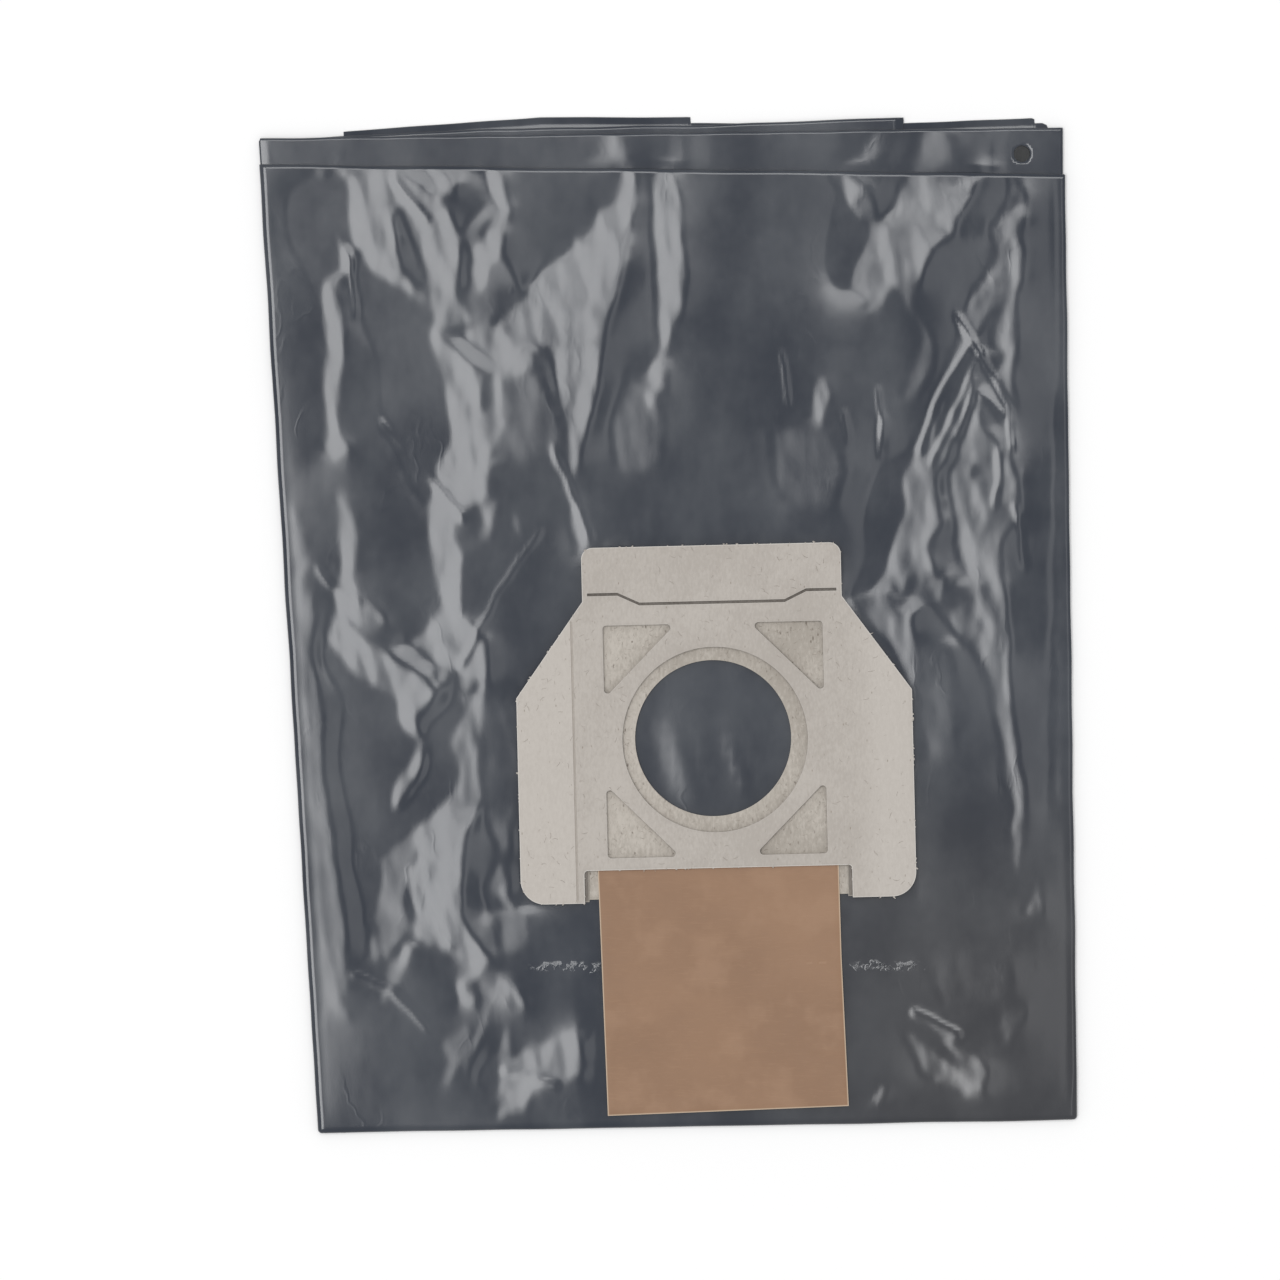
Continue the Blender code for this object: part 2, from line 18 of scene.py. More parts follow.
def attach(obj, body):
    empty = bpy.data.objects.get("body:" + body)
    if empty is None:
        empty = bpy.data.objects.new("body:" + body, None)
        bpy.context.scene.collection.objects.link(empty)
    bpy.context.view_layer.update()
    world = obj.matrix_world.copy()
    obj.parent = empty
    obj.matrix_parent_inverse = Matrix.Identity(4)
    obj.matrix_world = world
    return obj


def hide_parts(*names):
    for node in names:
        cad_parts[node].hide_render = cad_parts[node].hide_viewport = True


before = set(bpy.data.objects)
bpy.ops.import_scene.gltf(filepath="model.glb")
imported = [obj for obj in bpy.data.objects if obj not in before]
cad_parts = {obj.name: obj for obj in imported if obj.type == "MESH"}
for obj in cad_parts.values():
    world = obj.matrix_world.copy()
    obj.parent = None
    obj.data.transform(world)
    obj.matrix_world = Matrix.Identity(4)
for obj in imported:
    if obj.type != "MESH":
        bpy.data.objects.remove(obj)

LOG = logging.getLogger("vacuum_bag")
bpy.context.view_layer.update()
MM = 0.001
ARC_DEGREES = 6.0
CUT_EDGE = "cut_edge"

Array = np.ndarray
Point = tuple[float, float]
Color = tuple[float, float, float]
Triple = tuple[float, float, float]


class Part(Enum):
    """The parts of the real object that pieces move with."""

    BAG = "bag"
    SHUTTER = "shutter"


class Ray(Enum):
    """The kinds of light path that the white around the bag answers to."""

    CAMERA = "Is Camera Ray"
    GLOSSY = "Is Glossy Ray"
    TRANSMISSION = "Is Transmission Ray"


# Node trees


class Value:
    """A socket of a node tree, which Python's operators add nodes to."""

    def __init__(self, graph: "Graph", socket: bpy.types.NodeSocket) -> None:
        """Keep the socket and the graph that it belongs to."""
        self.graph = graph
        self.socket = socket

    def _join(self, operation: str, first: object, second: object) -> "Value":
        """Add one maths node.

        Args:
            operation: The node's operation.
            first: A value, a number or a tuple.
            second: A value, a number or a tuple.

        Returns:
            The node's result.
        """
        other = second if first is self else first
        is_vector = self.socket.type == "VECTOR" or isinstance(other, tuple)
        kind = "ShaderNodeVectorMath" if is_vector else "ShaderNodeMath"
        return self.graph.add(kind, {"operation": operation}, {0: first, 1: second})

    def __add__(self, other: object) -> "Value":
        """Add."""
        return self._join("ADD", self, other)

    def __radd__(self, other: object) -> "Value":
        """Add, with the value on the right."""
        return self._join("ADD", other, self)

    def __sub__(self, other: object) -> "Value":
        """Take away."""
        return self._join("SUBTRACT", self, other)

    def __rsub__(self, other: object) -> "Value":
        """Take away, with the value on the right."""
        return self._join("SUBTRACT", other, self)

    def __mul__(self, other: object) -> "Value":
        """Multiply."""
        return self._join("MULTIPLY", self, other)

    def __rmul__(self, other: object) -> "Value":
        """Multiply, with the value on the right."""
        return self._join("MULTIPLY", other, self)

    def __gt__(self, other: object) -> "Value":
        """Give 1 where the value is greater."""
        return self._join("GREATER_THAN", self, other)

    def at_least(self, other: object) -> "Value":
        """Return the greater of two values."""
        return self._join("MAXIMUM", self, other)

    def at_most(self, other: object) -> "Value":
        """Return the lesser of two values."""
        return self._join("MINIMUM", self, other)

    def away(self, place: float) -> "Value":
        """Return how far the value lies from a number."""
        return self.graph.add("ShaderNodeMath", {"operation": "ABSOLUTE"}, {0: self - place})

    def rise(self, low: float, high: float) -> "Value":
        """Return a soft step from 0 at low to 1 at high."""
        settings = {"interpolation_type": "SMOOTHSTEP"}
        inputs = {0: self, 1: low, 2: high, 3: 0.0, 4: 1.0}
        return self.graph.add("ShaderNodeMapRange", settings, inputs)

    def fall(self, low: float, high: float) -> "Value":
        """Return a soft step from 1 at low to 0 at high."""
        return 1.0 - self.rise(low, high)

    def part(self, axis: str) -> "Value":
        """Return the X, Y or Z of a vector."""
        return self.graph.add("ShaderNodeSeparateXYZ", None, {0: self}, axis)


class Graph:
    """A node tree with one way to add any node."""

    def __init__(self, tree: bpy.types.NodeTree) -> None:
        """Keep the tree."""
        self.tree = tree

    def add(self, kind: str, settings: dict | None = None, inputs: dict | None = None,
            output: int | str = 0) -> Value:
        """Add a node.

        Args:
            kind: The node's type.
            settings: The node's properties, which are set first.
            inputs: The values, numbers or tuples of its sockets, by name or number.
            output: The name or number of the wanted output.

        Returns:
            The wanted output.
        """
        node = self.tree.nodes.new(kind)
        for name, setting in (settings or {}).items():
            setattr(node, name, setting)
        for key, item in (inputs or {}).items():
            self.feed(node.inputs[key], item)
        return Value(self, node.outputs[output])

    def feed(self, socket: bpy.types.NodeSocket, item: object) -> None:
        """Link a value to a socket, or set a number, tuple, material or object on it."""
        if isinstance(item, Value):
            self.tree.links.new(item.socket, socket)
        elif socket.type == "RGBA" and len(item) == 3:
            socket.default_value = (*item, 1.0)
        else:
            socket.default_value = item

    def mix(self, factor: object, first: object, second: object) -> Value:
        """Mix two colours by a factor from 0 to 1."""
        inputs = {0: factor, 6: first, 7: second}
        return self.add("ShaderNodeMix", {"data_type": "RGBA"}, inputs, 2)

    def noise(self, place: Value, scale: float, detail: float = 2.0,
              roughness: float = 0.5) -> Value:
        """Return smooth noise from 0 to 1 at a place, with the cells per metre in scale."""
        inputs = {"Vector": place, "Scale": scale, "Detail": detail, "Roughness": roughness}
        return self.add("ShaderNodeTexNoise", None, inputs)

    def strands(self, place: Value, scale: float, thinness: float) -> Value:
        """Return 1 on thin wandering lines and 0 between them."""
        return 1.0 - (self.noise(place, scale).away(0.5) * thinness).at_most(1.0)

    def specks(self, place: Value, scale: float, core: float, size: float) -> Value:
        """Return 1 in the cores of scattered specks and 0 outside their size, both in cells."""
        inputs = {"Vector": place, "Scale": scale}
        return self.add("ShaderNodeTexVoronoi", None, inputs).fall(core, size)

    def cut_edge(self) -> Value:
        """Return 1 on a piece's cut edges and 0 elsewhere."""
        return self.add("ShaderNodeAttribute", {"attribute_name": CUT_EDGE}, None, "Fac")

    def seen_directly(self) -> Value:
        """Return 1 for what is looked at, also in a mirror or through glass, and 0 otherwise."""
        found = [self.add("ShaderNodeLightPath", None, None, ray.value) for ray in Ray]
        return found[0].at_least(found[1]).at_least(found[2])


# Materials


class Finish:
    """A procedural material of one kind of surface."""

    name: str = "finish"

    def shade(self, graph: Graph, place: Value) -> dict[str, object]:
        """Return the shader's inputs for a surface at a place.

        Args:
            graph: The material's node tree.
            place: Where the surface lies, in metres.

        Returns:
            A value or a number for each named input.
        """
        raise NotImplementedError

    def material(self) -> bpy.types.Material:
        """Build the material, or find it where it is built already.

        Returns:
            The material, whose nodes work at the object's own places.
        """
        title = f"{self.name}_finish"
        found = bpy.data.materials.get(title)
        if found is not None:
            return found
        material = bpy.data.materials.new(title)
        material.use_nodes = True
        graph = Graph(material.node_tree)
        shader = material.node_tree.nodes["Principled BSDF"]
        place = graph.add("ShaderNodeTexCoord", None, None, "Object")
        for name, item in self.shade(graph, place).items():
            graph.feed(shader.inputs[name], item)
        return material

    @staticmethod
    def bump(graph: Graph, height: Value, reach: float) -> Value:
        """Return the normal of a surface whose height runs from 0 to reach, in metres."""
        inputs = {"Strength": 1.0, "Distance": reach, "Height": height}
        return graph.add("ShaderNodeBump", None, inputs, "Normal")


@dataclass(frozen=True)
class DarkFilm(Finish):
    """Glossy slate film with drawing lines, small crinkles, paler cut edges that are partly a
    painted highlight, a browner tone to the lower right and painted shade in the vent.
    """

    name: str = "dark_film"
    deep: Color = (0.010, 0.016, 0.029)
    pale: Color = (0.040, 0.047, 0.060)
    lower_right_tone: Color = (0.032, 0.029, 0.028)
    # Paler colour of cut edges: partly the film's own edge, partly a painted highlight along the
    # rims.
    edge: Color = (0.240, 0.245, 0.255)
    # Painted shade for the inside of the bag seen through the vent.
    shadowed: Color = (0.001, 0.002, 0.003)
    vent: Point = (0.12385, 0.16505)
    vent_reach: Point = (0.0038, 0.0042)
    rear_face: Point = (0.0002, 0.0003)
    rear_top: Point = (0.0010, 0.0014)
    crinkle_y: float = -0.1193
    crinkle_half: float = 0.0022
    crinkle_middle: float = 0.021
    crinkle_out: float = 0.056
    relief: float = 0.000014

    def crinkles(self, graph: Graph, place: Value) -> Value:
        """Return the crushed line that runs out on both sides of the card."""
        wander = (graph.noise(place * (1.0, 0.0, 0.0), 90.0) - 0.5) * 0.004
        along = (place.part("Y") + wander).away(self.crinkle_y)
        beside = place.part("X").away(self.crinkle_middle).away(self.crinkle_out)
        crushed = along.fall(0.0, self.crinkle_half) * beside.fall(0.006, 0.016)
        broken = graph.noise(place, 310.0).rise(0.47, 0.56)
        return graph.noise(place, 700.0, 3.0, 0.6) * crushed * broken * 16.0

    def vent_shade_mask(self, place: Value) -> Value:
        """Return 1 where the vent's painted shade goes: on the rear ply's upper face where the vent
        hole shows it.
        """
        found = place.part("Z").rise(*self.rear_face) * place.part("Z").fall(*self.rear_top)
        for axis, middle in zip("XY", self.vent):
            found = found * place.part(axis).away(middle).fall(*self.vent_reach)
        return found

    def shade(self, graph: Graph, place: Value) -> dict[str, object]:
        """Return the film's shader inputs at a place.

        Args:
            graph: The material's node tree.
            place: Where the surface lies, in metres.

        Returns:
            A value or a number for each named input.
        """
        streaks = graph.noise(place * (1.0, 0.06, 1.0), 900.0, 3.0, 0.6)
        clouds = graph.noise(place * (1.0, 0.6, 1.0), 30.0, 4.0, 0.55)
        fine = graph.noise(place, 260.0, 3.0, 0.55)
        ridges = graph.strands(place * (1.0, 0.55, 1.0), 95.0, 22.0)
        patchy = graph.noise(place, 31.0, 1.0).rise(0.50, 0.66)
        height = streaks * 0.05 + fine * 0.35 + ridges * patchy * 0.45
        low_right = place.part("X").rise(-0.03, 0.10) * place.part("Y").fall(-0.13, -0.02)
        body = graph.mix(clouds.rise(0.36, 0.68), self.deep, self.pale)
        # Browner, warmer tone towards the lower right.
        body = graph.mix(low_right * 0.5, body, self.lower_right_tone)
        # Painted shade: the rear ply seen through the vent hole is darkened.
        body = graph.mix(self.vent_shade_mask(place), body, self.shadowed)
        # Cut edges turn paler: partly the film's own edge, partly a painted highlight.
        cut = graph.cut_edge()
        return {
            "Base Color": graph.mix(cut * 0.4, body, self.edge),
            "Roughness": clouds * 0.08 + fine * 0.04 + cut * 0.3 + 0.055,
            "Specular IOR Level": 0.45,
            "Normal": self.bump(graph, height + self.crinkles(graph, place), self.relief),
        }


@dataclass(frozen=True)
class Board(Finish):
    """Grey board of pressed fibres, mottled and flecked, with paler cut edges that are partly a
    painted highlight; its wings can take painted light and its score painted shade.
    """

    name: str = "top_board"
    base: Color = (0.480, 0.444, 0.405)
    mottle: Color = (0.415, 0.380, 0.344)
    fleck: Color = (0.240, 0.200, 0.160)
    # Paler colour of cut edges: partly the fibres' own colour, partly a painted highlight along the
    # rims.
    edge: Color = (0.800, 0.775, 0.740)
    # Painted highlight colour for the wings, as if more light fell on them.
    smooth: Color = (0.610, 0.572, 0.528)
    fleck_size: float = 0.16
    relief: float = 0.00004
    middle: Point = (0.0165, -0.0399)
    turn: float = math.radians(1.35)
    score_x: float = 0.0494
    score_end: float = 0.0420
    # Share of painted light on the wings and of painted shade along the score.
    painted_light_share: float = 0.0

    def shade(self, graph: Graph, place: Value) -> dict[str, object]:
        """Return the board's shader inputs at a place.

        Args:
            graph: The material's node tree.
            place: Where the surface lies, in metres.

        Returns:
            A value or a number for each named input.
        """
        c, s = math.cos(self.turn), math.sin(self.turn)
        from_x, from_y = (place.part(axis) - start for axis, start in zip("XY", self.middle))
        across, along = from_x * c + from_y * s, from_y * c - from_x * s
        below = along.fall(self.score_end - 0.0005, self.score_end)
        # Painted shade: a dark line along the pressed score, in the fleck colour.
        score = across.away(-self.score_x - 0.0001).fall(0.00012, 0.00042) * below
        # Painted light: the wings beside the score and on the right are lightened.
        left_wing = across.fall(-self.score_x - 0.0006, -self.score_x) * below
        right_wing = across.rise(self.score_x - 0.004, self.score_x + 0.010)
        wing_light = left_wing.at_least(right_wing) * self.painted_light_share
        cloud = graph.noise(place, 34.0, 4.0, 0.6)
        grain = graph.noise(place * (1.0, 0.45, 1.0), 1300.0, 3.0, 0.6)
        strands = graph.strands(place * (1.0, 0.3, 1.0), 420.0, 16.0)
        flecks = graph.specks(place * (1.0, 0.4, 1.0), 620.0, 0.05, self.fleck_size)
        flecks = flecks * graph.noise(place, 480.0, 1.0).rise(0.50, 0.60) * 0.8
        body = graph.mix((cloud * 0.55 + grain * 0.45).rise(0.36, 0.64), self.base, self.mottle)
        body = graph.mix(wing_light * (cloud * 0.9 + 0.15).at_most(1.0), body, self.smooth)
        # Flecks, and the painted shade along the score.
        body = graph.mix(flecks.at_least(score * self.painted_light_share * 0.38), body, self.fleck)
        # Cut edges turn paler: partly the fibres' own colour, partly a painted highlight.
        return {
            "Base Color": graph.mix(graph.cut_edge() * 0.75, body, self.edge),
            "Roughness": 0.62 + grain * 0.2,
            "Specular IOR Level": 0.35,
            "Normal": self.bump(graph, grain * 0.7 + strands * 0.3, self.relief),
        }


@dataclass(frozen=True)
class BrownCard(Finish):
    """Satin brown card with fine strands, a faint crease and paler cut edges."""

    name: str = "brown_card"
    base: Color = (0.282, 0.162, 0.092)
    dark: Color = (0.228, 0.126, 0.068)
    light: Color = (0.330, 0.200, 0.122)
    edge: Color = (0.700, 0.570, 0.430)
    crease_y: float = -0.1195
    crease_lean: float = 0.030
    relief: float = 0.000025

    def shade(self, graph: Graph, place: Value) -> dict[str, object]:
        """Return the card's shader inputs at a place.

        Args:
            graph: The material's node tree.
            place: Where the surface lies, in metres.

        Returns:
            A value or a number for each named input.
        """
        x, y = place.part("X"), place.part("Y")
        cloud = graph.noise(place, 26.0, 4.0, 0.6)
        patches = graph.noise(place, 62.0, 3.0, 0.6)
        strand = graph.noise(place * (0.12, 1.0, 1.0), 1500.0, 3.0, 0.65)
        grain = graph.noise(place, 2600.0, 2.0, 0.6)
        broken = graph.noise(place * (1.0, 0.2, 1.0), 330.0).rise(0.48, 0.60)
        crease = (y - x * self.crease_lean).away(self.crease_y).fall(0.0002, 0.0007)
        crease = crease * broken * x.rise(0.030, 0.058)
        upper = y.rise(-0.150, -0.085) * 0.6 + x.rise(0.01, 0.06) * 0.4
        body = graph.mix(cloud.rise(0.34, 0.66) * 0.65 + upper * 0.35, self.dark, self.base)
        pale = strand.rise(0.50, 0.75) * 0.25 + patches.rise(0.46, 0.70) * 0.50
        specks = graph.specks(place, 760.0, 0.03, 0.12)
        body = graph.mix(pale.at_least(crease * 0.6).at_least(specks * 0.55), body, self.light)
        body = graph.mix(grain.rise(0.55, 0.75) * 0.25, body, self.dark)
        height = strand * 0.6 + grain * 0.4 - crease * 3.0
        return {
            "Base Color": graph.mix(graph.cut_edge() * 0.8, body, self.edge),
            "Roughness": 0.40 + strand * 0.10 + cloud * 0.08 + patches * 0.10,
            "Specular IOR Level": 0.4,
            "Normal": self.bump(graph, height, self.relief),
        }


@dataclass(frozen=True)
class Fibre(Finish):
    """Loose fibre of the board."""

    name: str = "dark_fibre"
    base: Color = (0.200, 0.165, 0.130)
    other: Color = (0.300, 0.260, 0.215)

    def shade(self, graph: Graph, place: Value) -> dict[str, object]:
        """Return the fibre's shader inputs at a place."""
        tone = graph.noise(place, 900.0, 1.0).rise(0.4, 0.6)
        return {"Base Color": graph.mix(tone, self.base, self.other), "Roughness": 0.8}


@dataclass(frozen=True)
class PaleFloor(Finish):
    """Plain pale floor, which ends in the same white in every direction."""

    name: str = "pale_floor"
    base: Color = (0.860, 0.860, 0.860)
    other: Color = (0.850, 0.850, 0.852)
    white: Color = (1.0, 1.0, 1.0)
    black: Color = (0.0, 0.0, 0.0)
    lift: float = 0.14

    def shade(self, graph: Graph, place: Value) -> dict[str, object]:
        """Return the floor's shader inputs at a place."""
        return {
            "Base Color": graph.mix(graph.noise(place, 3.0, 1.0), self.base, self.other),
            "Roughness": 0.9,
            "Specular IOR Level": 0.0,
            "Emission Color": graph.mix(graph.seen_directly(), self.black, self.white),
            "Emission Strength": self.lift,
        }


# Scattered things, grown by Geometry Nodes


class NodeGrower:
    """Runs a node tree on an object once, and returns what it grows as a plain mesh."""

    SOCKETS = {
        float: "NodeSocketFloat", int: "NodeSocketInt", bpy.types.Material: "NodeSocketMaterial",
    }

    def __init__(self, title: str, values: dict[str, object]) -> None:
        """Start a tree.

        Args:
            title: The tree's name.
            values: The value of each named input after the geometry.
        """
        self.values = values
        self.tree = bpy.data.node_groups.new(title, "GeometryNodeTree")
        sockets = {"Geometry": "NodeSocketGeometry"}
        sockets.update({name: self.SOCKETS[type(value)] for name, value in values.items()})
        interface = self.tree.interface
        for name, kind in sockets.items():
            interface.new_socket(name=name, in_out="INPUT", socket_type=kind)
        interface.new_socket(name="Geometry", in_out="OUTPUT", socket_type="NodeSocketGeometry")
        self.graph = Graph(self.tree)
        self.entry = self.tree.nodes.new("NodeGroupInput")

    def given(self, name: str) -> Value:
        """Return one of the tree's inputs."""
        return Value(self.graph, self.entry.outputs[name])

    def random(self, low: object, high: object, seed: int) -> Value:
        """Return a random number or vector between two limits for each point."""
        kind, first = ("FLOAT_VECTOR", 0) if isinstance(low, tuple) else ("FLOAT", 2)
        inputs = {first: low, first + 1: high, "Seed": seed}
        return self.graph.add("FunctionNodeRandomValue", {"data_type": kind}, inputs, first // 2)

    def place_on(self, points: Value, inputs: dict[str, object]) -> None:
        """End the tree with copies on points, as real geometry that wears its material.

        Args:
            points: The points that get a copy.
            inputs: What is copied and how, by the names of the node's sockets.
        """
        copies = self.graph.add("GeometryNodeInstanceOnPoints", None, {"Points": points, **inputs})
        real = self.graph.add("GeometryNodeRealizeInstances", None, {0: copies})
        dressed = self.graph.add(
            "GeometryNodeSetMaterial", None, {"Geometry": real, "Material": self.given("Material")})
        self.graph.feed(self.tree.nodes.new("NodeGroupOutput").inputs[0], dressed)

    def grow(self, host: bpy.types.Object, name: str) -> bpy.types.Object:
        """Run the tree on a host and keep the result.

        Args:
            host: The object that the tree works on. It stays as it is.
            name: The new piece's name.

        Returns:
            The grown piece, at the origin.
        """
        modifier = host.modifiers.new("grow", "NODES")
        modifier.node_group = self.tree
        for item in self.tree.interface.items_tree:
            if item.in_out == "INPUT" and item.name in self.values:
                modifier[item.identifier] = self.values[item.name]
        bpy.context.view_layer.update()
        graph = bpy.context.evaluated_depsgraph_get()
        mesh = bpy.data.meshes.new_from_object(host.evaluated_get(graph), depsgraph=graph)
        host.modifiers.remove(modifier)
        mesh.name = name
        return link_object(name, mesh)


@dataclass(frozen=True)
class LooseFibres:
    """Short bent fibres that lie on a board's face."""

    density: float = 34000.0
    length: float = 0.0015
    thickness: float = 0.00007
    seed: int = 5
    finish: Fibre = Fibre()
    bends: tuple[float, ...] = (0.05, -0.16, 0.28)

    def build(self, board: bpy.types.Object, name: str) -> bpy.types.Object:
        """Scatter the fibres over the face of a board.

        Args:
            board: The finished board.
            name: The new piece's name.

        Returns:
            The fibres as one mesh.
        """
        grower = NodeGrower(f"{name}_tree", {
            "Density": self.density, "Length": self.length, "Thickness": self.thickness,
            "Seed": self.seed, "Material": self.finish.material()})
        graph = grower.graph
        up = graph.add("GeometryNodeInputNormal").part("Z") > 0.98
        points = graph.add("GeometryNodeDistributePointsOnFaces", None, {
            "Mesh": grower.given("Geometry"), "Selection": up, "Density": grower.given("Density"),
            "Seed": grower.given("Seed")})
        joined = grower.tree.nodes.new("GeometryNodeJoinGeometry")
        for bend in self.bends:
            grower.tree.links.new(self._bent(grower, bend).socket, joined.inputs[0])
        grower.place_on(points, {
            "Instance": Value(graph, joined.outputs[0]), "Pick Instance": True,
            "Rotation": grower.random((-0.03, -0.03, 0.0), (0.03, 0.03, 2 * math.pi), 3),
            "Scale": grower.random(0.35, 1.5, 4)})
        return grower.grow(board, name)

    @staticmethod
    def _bent(grower: NodeGrower, bend: float) -> Value:
        """Add the nodes of one bent fibre.

        Args:
            grower: The tree that the fibre belongs to.
            bend: How far its middle stands out sideways, in lengths.

        Returns:
            The fibre as an instance.
        """
        graph = grower.graph
        half = grower.given("Length") * 0.5
        middle = {"Y": half * (bend * 2.0), "Z": half * 0.10}
        start, middle, tip = (
            graph.add("ShaderNodeCombineXYZ", None, inputs)
            for inputs in ({"X": half * -1.0}, middle, {"X": half}))
        line = graph.add("GeometryNodeCurveQuadraticBezier", None, {
            "Resolution": 4, "Start": start, "Middle": middle, "End": tip})
        ring = graph.add("GeometryNodeCurvePrimitiveCircle", {"mode": "RADIUS"}, {
            "Resolution": 3, "Radius": grower.given("Thickness") * 0.5})
        thread = graph.add("GeometryNodeCurveToMesh", None, {
            "Curve": line, "Profile Curve": ring, "Fill Caps": True})
        return graph.add("GeometryNodeGeometryToInstance", None, {0: thread})


@dataclass(frozen=True)
class DieNibs:
    """Tiny torn nibs that the cutting die left along a board's outline."""

    spacing: float = 0.0011
    share: float = 0.16
    reach: float = 0.0009
    seed: int = 11

    def build(self, outline: Array, name: str, finish: Finish) -> bpy.types.Object:
        """Grow the nibs along an outline.

        Args:
            outline: The outline's points, in rows of x, y and z.
            name: The new piece's name.
            finish: The board's finish.

        Returns:
            The nibs as one mesh.
        """
        grower = NodeGrower(f"{name}_tree", {
            "Spacing": self.spacing, "Share": self.share, "Reach": self.reach, "Seed": self.seed,
            "Material": finish.material()})
        graph = grower.graph
        reach = grower.given("Reach")
        line = graph.add("GeometryNodeMeshToCurve", None, {"Mesh": grower.given("Geometry")})
        points = graph.add("GeometryNodeResampleCurve", {"mode": "LENGTH"}, {
            "Curve": line, "Length": grower.given("Spacing")})
        chosen = graph.add("FunctionNodeRandomValue", {"data_type": "BOOLEAN"}, {
            "Probability": grower.given("Share"), "Seed": grower.given("Seed")}, 3)
        cone = graph.add("GeometryNodeMeshCone", {"fill_type": "TRIANGLE_FAN"}, {
            "Vertices": 5, "Side Segments": 2, "Radius Top": reach * 0.22,
            "Radius Bottom": reach * 0.55, "Depth": reach})
        grower.place_on(points, {
            "Selection": chosen, "Instance": cone,
            "Rotation": grower.random((0.0, 0.0, 0.0), (2 * math.pi,) * 3, 8),
            "Scale": grower.random((0.3, 0.3, 0.3), (1.0, 1.0, 1.2), 9)})
        count = len(outline)
        path = bpy.data.meshes.new(f"{name}_path")
        ring = [(step, (step + 1) % count) for step in range(count)]
        path.from_pydata(outline.tolist(), ring, [])
        host = link_object(f"{name}_path", path)
        nibs = grower.grow(host, name)
        bpy.data.objects.remove(host)
        return nibs


# Noise and plane geometry


def lattice_value(column: Array, row: Array, seed: int) -> Array:
    """Return a repeatable number from 0 to 1 for each whole place."""
    mixed = (column * 374761393 + row * 668265263 + seed * 1442695041) & 0xFFFFFFFF
    mixed = ((mixed ^ (mixed >> 13)) * 1274126177) & 0xFFFFFFFF
    return ((mixed ^ (mixed >> 16)) & 0xFFFFFF) / 0xFFFFFF


def soft_noise(x: Array, y: Array, seed: int) -> Array:
    """Return gradient noise of about -1 to 1.

    Args:
        x: Places across, in cells.
        y: Places along, in cells.
        seed: Number of the pattern.

    Returns:
        The noise at each place.
    """
    column, row = np.floor(x).astype(np.int64), np.floor(y).astype(np.int64)
    across, along = x - column, y - row

    def corner(right: int, up: int) -> Array:
        """Return one lattice corner's slope at the place."""
        turn = lattice_value(column + right, row + up, seed) * 2 * math.pi
        return np.cos(turn) * (across - right) + np.sin(turn) * (along - up)

    ease_x = across ** 3 * (across * (across * 6 - 15) + 10)
    ease_y = along ** 3 * (along * (along * 6 - 15) + 10)
    low = corner(0, 0) * (1 - ease_x) + corner(1, 0) * ease_x
    high = corner(0, 1) * (1 - ease_x) + corner(1, 1) * ease_x
    return (low * (1 - ease_y) + high * ease_y) * 1.5


def ease(value: Array) -> Array:
    """Return a soft step from 0 to 1."""
    held = np.clip(value, 0.0, 1.0)
    return held * held * (3.0 - 2.0 * held)


def turned(points: Array, angle: float, shift: Point) -> Array:
    """Return points turned about +Z and then moved."""
    c, s = math.cos(angle), math.sin(angle)
    moved = points.copy()
    moved[:, 0] = points[:, 0] * c - points[:, 1] * s + shift[0]
    moved[:, 1] = points[:, 0] * s + points[:, 1] * c + shift[1]
    return moved


def mirrored(corners: list[Triple]) -> list[Triple]:
    """Return the corners of an outline's right side, followed by those of its left side."""
    return corners + [(-x, y, radius) for x, y, radius in reversed(corners)]


def rounded(corners: Sequence[Triple]) -> list[Point]:
    """Return an outline with its corners as arcs.

    Args:
        corners: The x, y and radius of each corner.

    Returns:
        The outline's points, in the corners' order.
    """
    points: list[Point] = []
    for index, (x, y, radius) in enumerate(corners):
        if radius <= 0.0:
            points.append((x, y))
            continue
        corner = Vector((x, y))
        before = Vector(corners[index - 1][:2]) - corner
        after = Vector(corners[(index + 1) % len(corners)][:2]) - corner
        half = before.angle(after) / 2
        toward = (before.normalized() + after.normalized()).normalized()
        middle = corner + toward * (radius / math.sin(half))
        start = corner + before.normalized() * (radius / math.tan(half)) - middle
        end = corner + after.normalized() * (radius / math.tan(half)) - middle
        sweep = start.angle_signed(end)
        steps = max(2, round(abs(math.degrees(sweep)) / ARC_DEGREES))
        for step in range(steps + 1):
            turn = -sweep * step / steps
            points.append((
                middle.x + start.x * math.cos(turn) - start.y * math.sin(turn),
                middle.y + start.x * math.sin(turn) + start.y * math.cos(turn),
            ))
    return points


def circle(diameter: float, x: float = 0.0, y: float = 0.0, sides: int = 120) -> list[Point]:
    """Return the points of a circle."""
    radius, turns = diameter / 2, [2 * math.pi * side / sides for side in range(sides)]
    return [(x + radius * math.cos(turn), y + radius * math.sin(turn)) for turn in turns]


def turned_left(loop: Array) -> Array:
    """Return a loop that runs anticlockwise."""
    after = np.roll(loop, -1, axis=0)
    area = np.sum(loop[:, 0] * after[:, 1] - after[:, 0] * loop[:, 1])
    return loop if area > 0 else loop[::-1]


def split_edges(loop: Array, longest: float) -> Array:
    """Return a loop whose long edges are cut into equal parts."""
    points = []
    for start, end in zip(loop, np.roll(loop, -1, axis=0)):
        parts = max(1, math.ceil(float(np.hypot(*(end - start))) / longest))
        points += [start + (end - start) * part / parts for part in range(parts)]
    return np.array(points)


